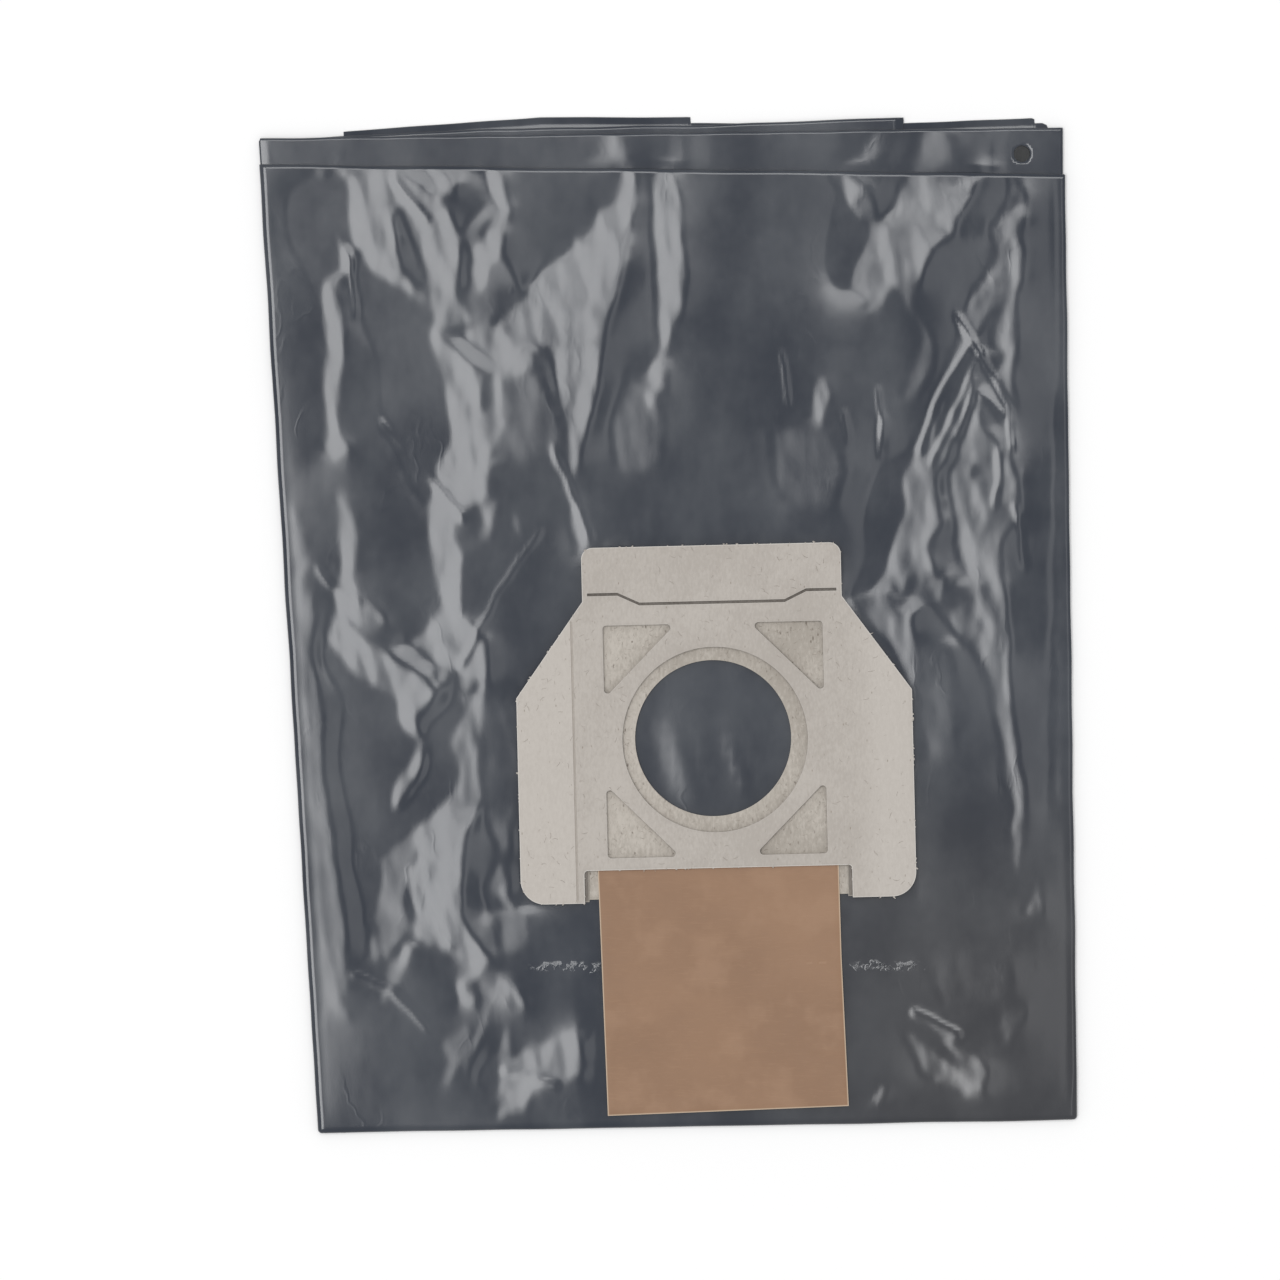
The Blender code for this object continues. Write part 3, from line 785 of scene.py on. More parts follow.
def set_in(loop: Array, inset: float) -> Array:
    """Return a loop moved to its left by inset."""
    before = loop - np.roll(loop, 1, axis=0)
    after = np.roll(loop, -1, axis=0) - loop
    before /= np.hypot(before[:, 0], before[:, 1])[:, None]
    after /= np.hypot(after[:, 0], after[:, 1])[:, None]
    left_before = np.stack([-before[:, 1], before[:, 0]], axis=1)
    left_after = np.stack([-after[:, 1], after[:, 0]], axis=1)
    both = left_before + left_after
    return loop + both / np.maximum(np.sum(both * left_after, axis=1), 0.5)[:, None] * inset


def ring_edges(loops: Sequence[Array]) -> list[tuple[int, int]]:
    """Return the edges of closed loops whose points are numbered one loop after another."""
    edges, start = [], 0
    for loop in loops:
        count = len(loop)
        edges += [(start + index, start + (index + 1) % count) for index in range(count)]
        start += count
    return edges


def inside(x: Array, y: Array, loops: Sequence[Array]) -> Array:
    """Tell which places lie inside an odd number of loops."""
    found = np.zeros(x.shape, dtype=bool)
    for loop in loops:
        for (x0, y0), (x1, y1) in zip(loop, np.roll(loop, -1, axis=0)):
            slope = (x1 - x0) / (y1 - y0) if y1 != y0 else 0.0
            found ^= ((y0 > y) != (y1 > y)) & (x < slope * (y - y0) + x0)
    return found


def line_distance(x: Array, y: Array, points: Sequence[Point]) -> Array:
    """Return how far places lie from a line through points."""
    nearest = np.full(x.shape, np.inf)
    for (x0, y0), (x1, y1) in zip(points, points[1:]):
        run_x, run_y = x1 - x0, y1 - y0
        share = ((x - x0) * run_x + (y - y0) * run_y) / (run_x ** 2 + run_y ** 2)
        share = np.clip(share, 0.0, 1.0)
        gap = np.hypot(x - x0 - share * run_x, y - y0 - share * run_y)
        nearest = np.minimum(nearest, gap)
    return nearest


def loop_distance(x: Array, y: Array, loop: Sequence[Point]) -> Array:
    """Return how far places lie outside a loop, and less than zero inside it."""
    nearest = line_distance(x, y, [*loop, loop[0]])
    return np.where(inside(x, y, [np.array(loop)]), -nearest, nearest)


# Meshes


def link_object(name: str, data: bpy.types.ID) -> bpy.types.Object:
    """Return a linked object for a mesh, a lamp or a camera, at the origin."""
    item = bpy.data.objects.new(name, data)
    bpy.context.scene.collection.objects.link(item)
    return item


def mesh_object(name: str, points: Array, faces: list, cut: Array | None = None,
                smooth: bool = True) -> bpy.types.Object:
    """Make an object of points and faces.

    Args:
        name: The piece's name.
        points: One row of x, y and z for each point.
        faces: Lists of point numbers.
        cut: For each point, 1 on a cut edge and 0 elsewhere.
        smooth: Whether the faces are shaded smooth.

    Returns:
        The linked object, at the origin.
    """
    mesh = bpy.data.meshes.new(name)
    mesh.from_pydata(points.tolist(), [], faces)
    if cut is not None:
        layer = mesh.attributes.new(CUT_EDGE, "FLOAT", "POINT")
        layer.data.foreach_set("value", cut.astype(np.float32))
    mesh.polygons.foreach_set("use_smooth", [smooth] * len(mesh.polygons))
    mesh.update()
    return link_object(name, mesh)


def block_edges(keep: Array, block: int, columns: int) -> list[list[int]]:
    """Return the rim of a grid's kept blocks, with the sheet on its left.

    Args:
        keep: Which blocks of the grid there are, in rows and columns of blocks.
        block: Cells along one side of a block.
        columns: Points in one row of the grid.

    Returns:
        Runs of point numbers, one for each side of a block.
    """
    padded = np.pad(keep, 1)
    runs = []
    for row, column in zip(*np.nonzero(keep)):
        low = row * block * columns + column * block
        top = low + block * columns
        steps = range(block + 1)
        if not padded[row, column + 1]:
            runs.append([low + step for step in steps])
        if not padded[row + 2, column + 1]:
            runs.append([top + block - step for step in steps])
        if not padded[row + 1, column + 2]:
            runs.append([low + block + step * columns for step in steps])
        if not padded[row + 1, column]:
            runs.append([top - step * columns for step in steps])
    return runs


def punch(x: Array, y: Array, middle: Point, radius: float, reach: float,
          block: int) -> tuple[Array, Array]:
    """Open a round hole in a grid, and draw the hole's rim onto a circle.

    Args:
        x: The grid's x, which is changed in place.
        y: The grid's y, which is changed in place.
        middle: The hole's middle.
        radius: The hole's radius.
        reach: How far from the middle a point of the rim may lie, in radii.
        block: Cells along one side of a block.

    Returns:
        Which blocks stay, and how far each point lies from the hole's middle.
    """
    away = np.hypot(x - middle[0], y - middle[1])
    keep = np.ones(((x.shape[0] - 1) // block, (x.shape[1] - 1) // block), dtype=bool)
    for row, column in np.ndindex(keep.shape):
        low, left = row * block, column * block
        keep[row, column] = away[low:low + block + 1, left:left + block + 1].min() > radius
    for run in block_edges(keep, block, x.shape[1]):
        for spot in [divmod(place, x.shape[1]) for place in run]:
            if away[spot] < radius * reach:
                share = radius / away[spot]
                x[spot] = middle[0] + (x[spot] - middle[0]) * share
                y[spot] = middle[1] + (y[spot] - middle[1]) * share
                away[spot] = radius
    return keep, away


def sheet_object(name: str, mid: Array, thickness: float, keep: Array | None = None,
                 block: int = 1) -> bpy.types.Object:
    """Make a closed sheet with round rims about a grid of points.

    Args:
        name: The piece's name.
        mid: The sheet's middle surface, in rows, columns and x, y, z.
        thickness: The sheet's thickness.
        keep: Which blocks of the grid there are, or None for all.
        block: Cells along one side of a block. The underside has one face for each block.

    Returns:
        The linked object.
    """
    columns = mid.shape[1]
    if keep is None:
        keep = np.ones((mid.shape[0] - 1, columns - 1), dtype=bool)
    normal = np.cross(np.gradient(mid, axis=1), np.gradient(mid, axis=0))
    normal /= np.maximum(np.linalg.norm(normal, axis=2, keepdims=True), 1e-12)
    flat_mid, flat_normal = mid.reshape(-1, 3), normal.reshape(-1, 3)
    count = len(flat_mid)
    edges = block_edges(keep, block, columns)
    outward = np.zeros_like(flat_mid)
    for run in edges:
        for start, end in zip(run, run[1:]):
            out = np.cross(flat_mid[end] - flat_mid[start], flat_normal[start])
            out /= max(float(np.linalg.norm(out)), 1e-12)
            outward[start] += out
            outward[end] += out
    length = np.linalg.norm(outward, axis=1, keepdims=True)
    outward = np.where(length > 0, outward / np.maximum(length, 1e-12), 0.0)
    half = thickness / 2
    points = np.concatenate([
        flat_mid + flat_normal * half - outward * half * 0.3,
        flat_mid + outward * half,
        flat_mid - flat_normal * half - outward * half * 0.3,
    ])
    faces: list = []
    under = 2 * count
    for row, column in zip(*np.nonzero(keep)):
        first = row * block * columns + column * block
        for up, across in np.ndindex(block, block):
            a = first + up * columns + across
            faces.append((a, a + 1, a + 1 + columns, a + columns))
        low, far = under + first, under + first + block * columns
        faces.append((low, far, far + block, low + block))
    for run in edges:
        for start, end in zip(run, run[1:]):
            faces.append((count + start, count + end, end, start))
        faces.append([under + run[0], under + run[-1]] + [count + place for place in run[::-1]])
    used = np.unique(np.concatenate([np.array(face) for face in faces]))
    renumber = np.full(3 * count, -1)
    renumber[used] = np.arange(len(used))
    cut = np.zeros(3 * count)
    cut[count:under] = 1.0
    faces = [renumber[list(face)].tolist() for face in faces]
    return mesh_object(name, points[used], faces, cut[used])


def dress(piece: bpy.types.Object, part: Part, finish: Finish | None = None,
          node: str = "") -> None:
    """Put a finish on a piece, hang it on the part that it moves with, and hide the CAD node that
    it replaces.

    Args:
        piece: The finished piece.
        part: What it moves with.
        finish: The finish to put on, where the piece has none yet.
        node: The CAD node that it replaces, if any.
    """
    if finish is not None:
        piece.data.materials.append(finish.material())
    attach(piece, part.value)
    if node:
        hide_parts(node)


@dataclass(frozen=True)
class BoardShape:
    """A flat board with holes: its loops, its levels and its softened rim."""

    outline: Sequence[Point]
    holes: Sequence[Sequence[Point]]
    low: float
    high: float
    lines: Sequence[Sequence[Point]] = ()
    step: float = 0.0022
    rim: float = 0.00032
    drop: float = 0.00016
    hole_cut: float = 0.25
    sharp: float = math.radians(50)

    def build(self, name: str, place: Callable[[Array], Array],
              lift: Callable[[Array, Array], Array] | None = None) -> bpy.types.Object:
        """Build the board.

        Args:
            name: The piece's name.
            place: Turns points of the collar into points of the bag.
            lift: How far the board's points stand above their level, from their x and y.

        Returns:
            The board as a closed mesh.
        """
        loops = [turned_left(np.array(self.outline))]
        loops += [turned_left(np.array(hole))[::-1] for hole in self.holes]
        outer = [split_edges(loop, self.step) for loop in loops]
        inner = [set_in(loop, self.rim) for loop in outer]
        flat, triangles = self._fill(outer, inner)
        edge = np.concatenate(outer)
        rise, edge_rise = (
            lift(group[:, 0], group[:, 1]) if lift else np.zeros(len(group))
            for group in (flat, edge))
        points = np.concatenate([
            np.column_stack([flat, self.high + rise]),
            np.column_stack([edge, self.high - self.drop + edge_rise]),
            np.column_stack([edge, self.low + self.drop + edge_rise]),
            np.column_stack([flat, self.low + rise]),
        ])
        upper, lower, under = len(flat), len(flat) + len(edge), len(flat) + 2 * len(edge)
        faces = triangles.tolist() + (triangles[:, ::-1] + under).tolist()
        for a, b in ring_edges(inner):
            faces.append([upper + a, upper + b, b, a])
            faces.append([lower + a, lower + b, upper + b, upper + a])
            faces.append([under + a, under + b, lower + b, lower + a])
        cut = np.zeros(len(points))
        cut[upper:under] = self.hole_cut
        for start in (upper, lower):
            cut[start:start + len(outer[0])] = 1.0
        board = mesh_object(name, place(points), faces, cut)
        board.data.set_sharp_from_angle(angle=self.sharp)
        return board

    def _fill(self, outer: Sequence[Array], inner: Sequence[Array]) -> tuple[Array, Array]:
        """Fill the board's face with triangles.

        Args:
            outer: The board's loops.
            inner: The same loops, drawn in by the rim.

        Returns:
            The face's points, with those of the inner loops first, and its triangles.
        """
        flat = np.concatenate([*inner, self._grid(outer, np.concatenate(inner))])
        links = []
        for line in self.lines:
            links += [(len(flat) + index, len(flat) + index + 1) for index in range(len(line) - 1)]
            flat = np.concatenate([flat, np.array(line)])
        links += ring_edges(inner)
        _, _, triangles, sources, _, _ = delaunay_2d_cdt(
            [Vector(point) for point in flat.tolist()], links, [], 0, 1e-9, True)
        order = [source[0] for source in sources]
        triangles = np.array([[order[corner] for corner in face] for face in triangles
                              if len(face) == 3])
        return flat, triangles[inside(*flat[triangles].mean(axis=1).T, inner)]

    def _grid(self, loops: Sequence[Array], ring: Array) -> Array:
        """Spread points over the board's face.

        Args:
            loops: The board's loops, which the points lie between.
            ring: The points of its inner rims, which they keep clear of.

        Returns:
            The points, a step apart.
        """
        low, high = loops[0].min(axis=0), loops[0].max(axis=0)
        across, along = np.meshgrid(*(
            np.arange(low[axis] + self.step / 2, high[axis], self.step) for axis in (0, 1)))
        across[1::2] += self.step / 2
        points = np.column_stack([across.ravel(), along.ravel()])
        points = points[inside(*points.T, loops)]
        clear = np.ones(len(points), dtype=bool)
        ring = np.concatenate([ring, *[np.array(line) for line in self.lines]])
        for part in np.split(ring, range(200, len(ring), 200)):
            near = np.hypot(*(points[:, None, axis] - part[None, :, axis] for axis in (0, 1)))
            clear &= near.min(axis=1) > self.step * 0.55
        return points[clear]


# The film's facets, creases and ripples


@dataclass(frozen=True)
class Fold:
    """A flank of the film that is tilted to the left.

    rows hold, in millimetres, a place up the bag and there the flank's foot and crest.
    """

    rows: tuple[Triple, ...]
    slope: float = 0.062
    soft: float = 2.2
    fade: float = 3.0
    foot_soft: float = 4.6

    def cover(self, x: Array, y: Array) -> Array:
        """Return how fully places in millimetres lie on the flank, from 0 to 1."""
        along, feet, crests = np.array(sorted(self.rows), dtype=float).T
        foot, crest = np.interp(y, along, feet), np.interp(y, along, crests)
        ends = ease((y - along[0]) / self.fade + 1.0) * ease((along[-1] - y) / self.fade + 1.0)
        foot_soft = np.minimum(self.foot_soft, np.maximum((crest - foot) * 0.8, 0.9))
        return ends * ease((x - foot) / foot_soft + 0.5) * ease((crest - x) / self.soft + 0.5)


@dataclass(frozen=True)
class Crease:
    """A narrow ridge along a line of points, in millimetres."""

    points: tuple[Point, ...]
    peak: float = 0.16
    half: float = 0.8

    def height(self, x: Array, y: Array) -> Array:
        """Return the ridge's height in millimetres at places in millimetres."""
        return self.peak * np.exp(-((line_distance(x, y, self.points) / self.half) ** 2))


@dataclass(frozen=True)
class Ripple:
    """Uneven waves: their height, their lengths across and along, and their slants."""

    reach: float
    across: float
    along: float
    seed: int
    slant: float = math.inf
    cross_slant: float = math.inf

    def at(self, x: Array, y: Array, weight: Array | float = 1.0) -> Array:
        """Return the waves' height at places in the unit of their lengths."""
        cells = x / self.across + y / self.slant, y / self.along + x / self.cross_slant
        return weight * self.reach * soft_noise(*cells, self.seed)

    def along_line(self, places: Array) -> Array:
        """Return the waves' height at places along one line."""
        return self.at(places, 0.0 * places)


CREASE_BEND = Ripple(0.9, 7.0, 12.0, 3)
FOLD_BENDS = Ripple(0.8, 9.0, 13.0, 3), Ripple(0.45, 3.2, 6.0, 4)
FOLD_BEND_ALONG = Ripple(1.0, 8.0, 12.0, 5)
FOLD_RIPPLES = (
    Ripple(0.085, 6.5, 15.0, 31, slant=30.0),
    Ripple(0.018, 2.7, 7.0, 32, cross_slant=20.0),
)
CALM_RIPPLES = Ripple(0.016, 13.0, 34.0, 8), Ripple(0.004, 4.5, 18.0, 9)
INLET_BEND = Ripple(1.5, 9.0, 14.0, 41)
INLET_FOLDS = (
    Crease(((-12.0, 2.0), (-10.0, -8.0), (-6.0, -20.0)), 0.30, 6.0),
    Crease(((7.0, -2.0), (10.0, -9.0), (14.0, -18.0)), 0.24, 3.6),
)
REAR_RIPPLE = Ripple(0.00008, 0.03, 0.05, 18)
BOARD_RIPPLE = Ripple(0.00003, 0.012, 0.018, 22)
LEFT_WAVE = Ripple(0.00022, 0.021, 1.0, 11)
RIGHT_WAVE = Ripple(0.00022, 0.024, 1.0, 12)
FOOT_WAVE = Ripple(0.0002, 0.026, 1.0, 13)
FRONT_TOP_WAVE = Ripple(0.0003, 0.03, 1.0, 14)
BACK_TOP_WAVE = Ripple(0.0003, 0.02, 1.0, 15)
UNDER_TOP_WAVE = Ripple(0.0002, 0.02, 1.0, 17)

FOLDS = (
    Fold(((61, 118, 120), (51, 116, 123), (40, 112, 124), (30, 111, 117), (19, 108, 111),
        (9, 89, 106), (-1, 100, 109), (-12, 108, 120), (-22, 113, 117), (-33, 115, 119),
        (-43, 117, 119), (-53, 117, 125), (-64, 122, 125), (-74, 119, 125), (-85, 120, 123)),
        0.046),
    Fold(((-18, -74, -69), (-29, -75, -68), (-40, -85, -66), (-51, -81, -68), (-61, -86, -70),
        (-72, -98, -85), (-83, -98, -90), (-94, -106, -93), (-105, -103, -90), (-116, -100, -98)),
        0.038),
    Fold(((86, 106, 107), (75, 101, 104), (65, 96, 101), (54, 77, 84), (44, 75, 96), (33, 74, 88),
        (23, 80, 86), (12, 79, 84)), 0.060),
    Fold(((118, -89, -85), (108, -93, -84), (97, -90, -83), (86, -89, -76), (75, -92, -75),
        (64, -86, -75), (53, -85, -81)), 0.046),
    Fold(((158, 119, 122), (149, 119, 121), (139, 113, 117), (129, 121, 125), (119, 113, 124),
        (109, 104, 113), (90, 98, 102), (80, 94, 98), (70, 91, 95), (60, 88, 90)), 0.046),
    Fold(((143, 100, 102), (132, 78, 86), (122, 79, 89), (111, 83, 85), (101, 89, 93), (90, 85, 93),
        (80, 82, 87)), 0.038),
    Fold(((10, -126, -124), (0, -126, -124), (-11, -127, -125), (-21, -126, -123),
        (-32, -125, -121), (-42, -125, -121), (-53, -124, -121), (-85, -121, -116),
        (-95, -120, -115), (-106, -119, -113), (-116, -117, -112), (-127, -114, -112)), 0.032),
    Fold(((145, -65, -62), (136, -74, -66), (126, -62, -56), (116, -73, -50), (107, -68, -62),
        (97, -64, -61)), 0.038),
    Fold(((-28, -102, -100), (-36, -107, -100), (-45, -107, -98), (-54, -106, -99),
        (-62, -107, -101)), 0.060),
    Fold(((158, -117, -113), (147, -121, -112), (136, -120, -112), (125, -121, -118)), 0.060),
    Fold(((153, 68, 70), (143, 66, 73), (133, 61, 71), (122, 60, 64)), 0.046),
    Fold(((-52, -58, -55), (-61, -61, -55), (-69, -63, -55), (-78, -59, -55)), 0.032),
    Fold(((80, 108, 110), (69, 108, 110), (58, 110, 113), (47, 109, 112)), 0.060),
    Fold(((-8, -119, -117), (-18, -114, -105)), 0.060),
    Fold(((159, 84, 111), (147, 82, 84)), 0.046),
    Fold(((-125, -67, -62), (-136, -65, -62), (-146, -69, -66), (-157, -72, -70)), 0.032),
    Fold(((43, -63, -59), (31, -67, -63)), 0.038),
    Fold(((108, 121, 122), (98, 120, 122), (88, 117, 121), (78, 119, 122)), 0.046),
    Fold(((89, -40, -38), (78, -38, -33)), 0.060),
    Fold(((-84, -60, -57), (-92, -65, -55), (-99, -63, -59)), 0.032),
    Fold(((-135, 117, 125), (-146, 116, 120)), 0.032),
    Fold(((-90, 129, 131), (-100, 124, 131)), 0.038),
    Fold(((62, 102, 105), (53, 98, 105), (44, 104, 105)), 0.060),
    Fold(((158, -123, -120), (149, -128, -126), (140, -130, -127), (130, -130, -128)), 0.038),
    Fold(((-144, 82, 87), (-149, 85, 95)), 0.038),
    Fold(((-142, -57, -55), (-149, -60, -55), (-157, -64, -59)), 0.032),
    Fold(((174, -22, -17), (163, -25, -14))),
    Fold(((172, 3, 6), (163, 1, 8))),
    Fold(((172, 71, 76), (163, 66, 74))),
    Fold(((173, 88, 99), (163, 86, 101))),
    Fold(((66, 36, 58), (54, 37, 62), (44, 40, 58)), 0.032, 7.0, 9.0),
    Fold(((84, -16, -4), (70, -20, -2), (56, -18, -4)), 0.031, 5.0, 7.0),
    Fold(((86, -64, -44), (74, -63, -38), (60, -62, -36)), 0.033, 5.0, 7.0),
    Fold(((-26, -66, -52), (-46, -66, -50), (-66, -64, -52)), 0.032, 4.0, 7.0),
    Fold(((-98, -60, -50), (-112, -58, -48)), 0.032, 4.0, 6.0),
    Fold(((-8, 87, 99), (-26, 88, 100), (-46, 90, 101)), 0.029, 5.0, 7.0),
    Fold(((-116, 88, 118), (-124, 92, 120), (-132, 96, 120)), 0.029, 5.0, 5.0),
    Fold(((159, -86, -79), (156, -84, -74), (153, -83, -75))),
    Fold(((156, 101, 109), (153, 97, 107))),
    Fold(((159, 57, 61), (153, 60, 70), (148, 61, 65), (142, 63, 69))),
    Fold(((150, -130, -127), (134, -130, -128))),
    Fold(((136, 120, 123), (131, 119, 125))),
    Fold(((159, -65, -58), (145, -60, -55), (142, -61, -58), (131, -68, -58), (128, -67, -58),
        (125, -70, -62), (117, -68, -65))),
    Fold(((159, 85, 95), (156, 84, 92), (153, 82, 94), (150, 81, 106), (145, 78, 102),
        (139, 67, 101), (136, 67, 100), (134, 65, 95), (122, 61, 88), (120, 61, 86), (117, 62, 78),
        (114, 71, 76), (111, 70, 74))),
    Fold(((117, 107, 111), (111, 104, 107))),
    Fold(((159, -98, -94), (156, -116, -87), (153, -117, -86), (150, -120, -79), (148, -120, -80),
        (145, -120, -96), (134, -120, -95), (131, -107, -96), (122, -107, -93), (120, -103, -89),
        (117, -101, -88), (114, -101, -91), (103, -99, -95))),
    Fold(((108, 102, 104), (100, 104, 107))),
    Fold(((159, -5, 3), (122, -5, 6), (111, -4, 5), (94, -3, -1), (89, -8, 0), (83, -5, 0))),
    Fold(((153, 121, 124), (148, 123, 126), (145, 121, 125), (142, 114, 125), (139, 113, 124),
        (136, 113, 118), (134, 114, 117), (131, 115, 117), (128, 114, 124), (120, 109, 122),
        (117, 118, 122), (100, 113, 120), (97, 113, 122), (94, 118, 121), (86, 113, 121),
        (78, 119, 121))),
    Fold(((80, -10, -4), (78, -8, -6))),
    Fold(((145, -93, -77), (136, -89, -72), (125, -85, -74), (114, -84, -73), (108, -84, -69),
        (106, -86, -64), (103, -89, -80), (100, -90, -79), (89, -88, -64), (75, -85, -65))),
    Fold(((86, 52, 55), (80, 51, 57), (72, 50, 54))),
    Fold(((80, 94, 98), (61, 85, 91))),
    Fold(((72, 74, 76), (61, 74, 76))),
    Fold(((72, 116, 119), (61, 118, 120))),
    Fold(((131, -120, -112), (125, -121, -111), (122, -121, -117), (120, -121, -117),
        (103, -120, -113), (72, -119, -116), (66, -118, -115), (61, -120, -111), (58, -118, -117))),
    Fold(((55, 99, 106), (52, 98, 105))),
    Fold(((97, -41, -23), (75, -36, -26), (61, -35, -31), (50, -35, -33))),
    Fold(((41, -66, -63), (36, -65, -63))),
    Fold(((41, -34, -30), (30, -33, -25), (27, -32, 7), (24, -33, -30))),
    Fold(((16, 87, 98), (10, 84, 96))),
    Fold(((44, -115, -113), (30, -114, -109), (16, -115, -111), (5, -117, -102), (2, -109, -99))),
    Fold(((2, 99, 107), (-4, 101, 107))),
    Fold(((86, 104, 107), (78, 100, 103), (64, 95, 100), (61, 93, 98), (58, 84, 97), (52, 83, 93),
        (47, 77, 94), (36, 77, 97), (30, 78, 93), (27, 77, 90), (19, 72, 93), (16, 70, 84),
        (13, 67, 79), (10, 64, 77), (8, 65, 92), (5, 67, 87), (2, 69, 85), (-18, 85, 88))),
    Fold(((-18, -81, -77), (-20, -81, -77))),
    Fold(((75, 136, 140), (-60, 134, 141)), 0.030, 3.0, 12.0),
    Fold(((75, 106, 108), (69, 105, 110), (66, 104, 114), (61, 103, 116), (58, 101, 121),
        (55, 109, 121), (52, 108, 121), (50, 98, 122), (44, 99, 121), (41, 98, 115), (33, 101, 110),
        (30, 100, 116), (8, 106, 119), (5, 99, 119), (2, 108, 119), (-1, 110, 119), (-6, 107, 120),
        (-15, 113, 119), (-32, 117, 120), (-51, 119, 124), (-71, 121, 123))),
    Fold(((2, -118, -114), (-1, -118, -112), (-4, -119, -106), (-15, -118, -91), (-18, -114, -85),
        (-20, -112, -84), (-23, -102, -80), (-32, -103, -88), (-37, -106, -87), (-40, -107, -84),
        (-46, -105, -85), (-60, -106, -92), (-65, -102, -96), (-71, -103, -97), (-74, -104, -101))),
    Fold(((-82, -106, -100), (-90, -105, -97))),
    Fold(((-93, -61, -57), (-99, -58, -54))),
    Fold(((-96, 127, 130), (-99, 125, 130))),
    Fold(((-113, -93, -89), (-118, -95, -92))),
    Fold(((159, -17, -12), (148, -19, -11), (145, -24, -12), (136, -28, -14), (134, -34, -14),
        (131, -34, -15), (128, -41, -15), (114, -52, -19), (111, -58, -20), (106, -59, -22),
        (103, -73, -22), (100, -71, -23), (97, -66, -48), (92, -61, -47), (89, -60, -49),
        (86, -60, -57), (75, -61, -58), (72, -85, -58), (69, -87, -58), (61, -83, -61),
        (58, -88, -61), (52, -83, -63), (50, -85, -63), (44, -83, -63), (41, -83, -71),
        (38, -83, -70), (36, -83, -75), (30, -83, -76), (24, -82, -72), (5, -80, -72),
        (-4, -86, -66), (-6, -93, -64), (-9, -84, -64), (-12, -84, -63), (-15, -79, -63),
        (-20, -65, -63), (-32, -74, -65), (-40, -76, -66), (-46, -73, -66), (-60, -82, -65),
        (-74, -89, -71), (-82, -87, -72), (-85, -92, -72), (-88, -92, -72), (-102, -87, -73),
        (-107, -92, -70), (-110, -91, -67), (-113, -76, -64), (-116, -74, -61), (-121, -71, -66),
        (-127, -74, -71), (-130, -73, -67), (-132, -73, -68))),
    Fold(((-124, -60, -58), (-127, -62, -54), (-132, -62, -50))),
    Fold(((44, -134, -133), (41, -134, -130), (24, -133, -127), (22, -133, -124), (16, -132, -128),
        (8, -132, -125), (-23, -130, -127), (-37, -129, -123), (-48, -128, -125), (-62, -127, -121),
        (-74, -126, -122), (-107, -124, -120), (-132, -122, -114), (-135, -122, -112)),
        0.033, 3.0, 9.0),
    Fold(((-149, 88, 91), (-155, 88, 101))),
    Fold(((-146, 95, 101), (-149, 99, 104), (-152, 101, 110), (-155, 103, 112), (-158, 88, 113),
        (-160, 95, 111), (-163, 102, 112))),
    Fold(((-163, 73, 76), (-166, 69, 75))),
    Fold(((-141, -34, -27), (-146, -44, -28), (-149, -52, -28), (-152, -58, -25), (-155, -58, -23),
        (-160, -64, -41), (-163, -61, -48), (-166, -53, -50), (-169, -58, -50), (-172, -59, -57))),
    Fold(((92, 88, 90), (89, 86, 91), (83, 84, 86)), 0.031),
    Fold(((86, -52, -49), (80, -51, -49)), 0.031),
    Fold(((69, -54, -52), (64, -54, -50)), 0.031),
    Fold(((38, -55, -52), (33, -54, -51)), 0.031),
    Fold(((-76, -106, -95), (-79, -106, -98), (-82, -107, -97)), 0.031),
    Fold(((-99, -62, -48), (-102, -62, -54)), 0.031),
    Fold(((-102, -106, -104), (-104, -105, -99)), 0.031),
    Fold(((-110, -105, -102), (-116, -105, -101)), 0.031),
    Fold(((-118, -97, -90), (-130, -100, -98)), 0.031),
    Fold(((-135, 117, 125), (-141, 114, 117)), 0.031),
    Fold(((-141, -73, -71), (-146, -80, -69), (-152, -77, -69), (-155, -79, -74), (-160, -80, -77)),
        0.031),
)

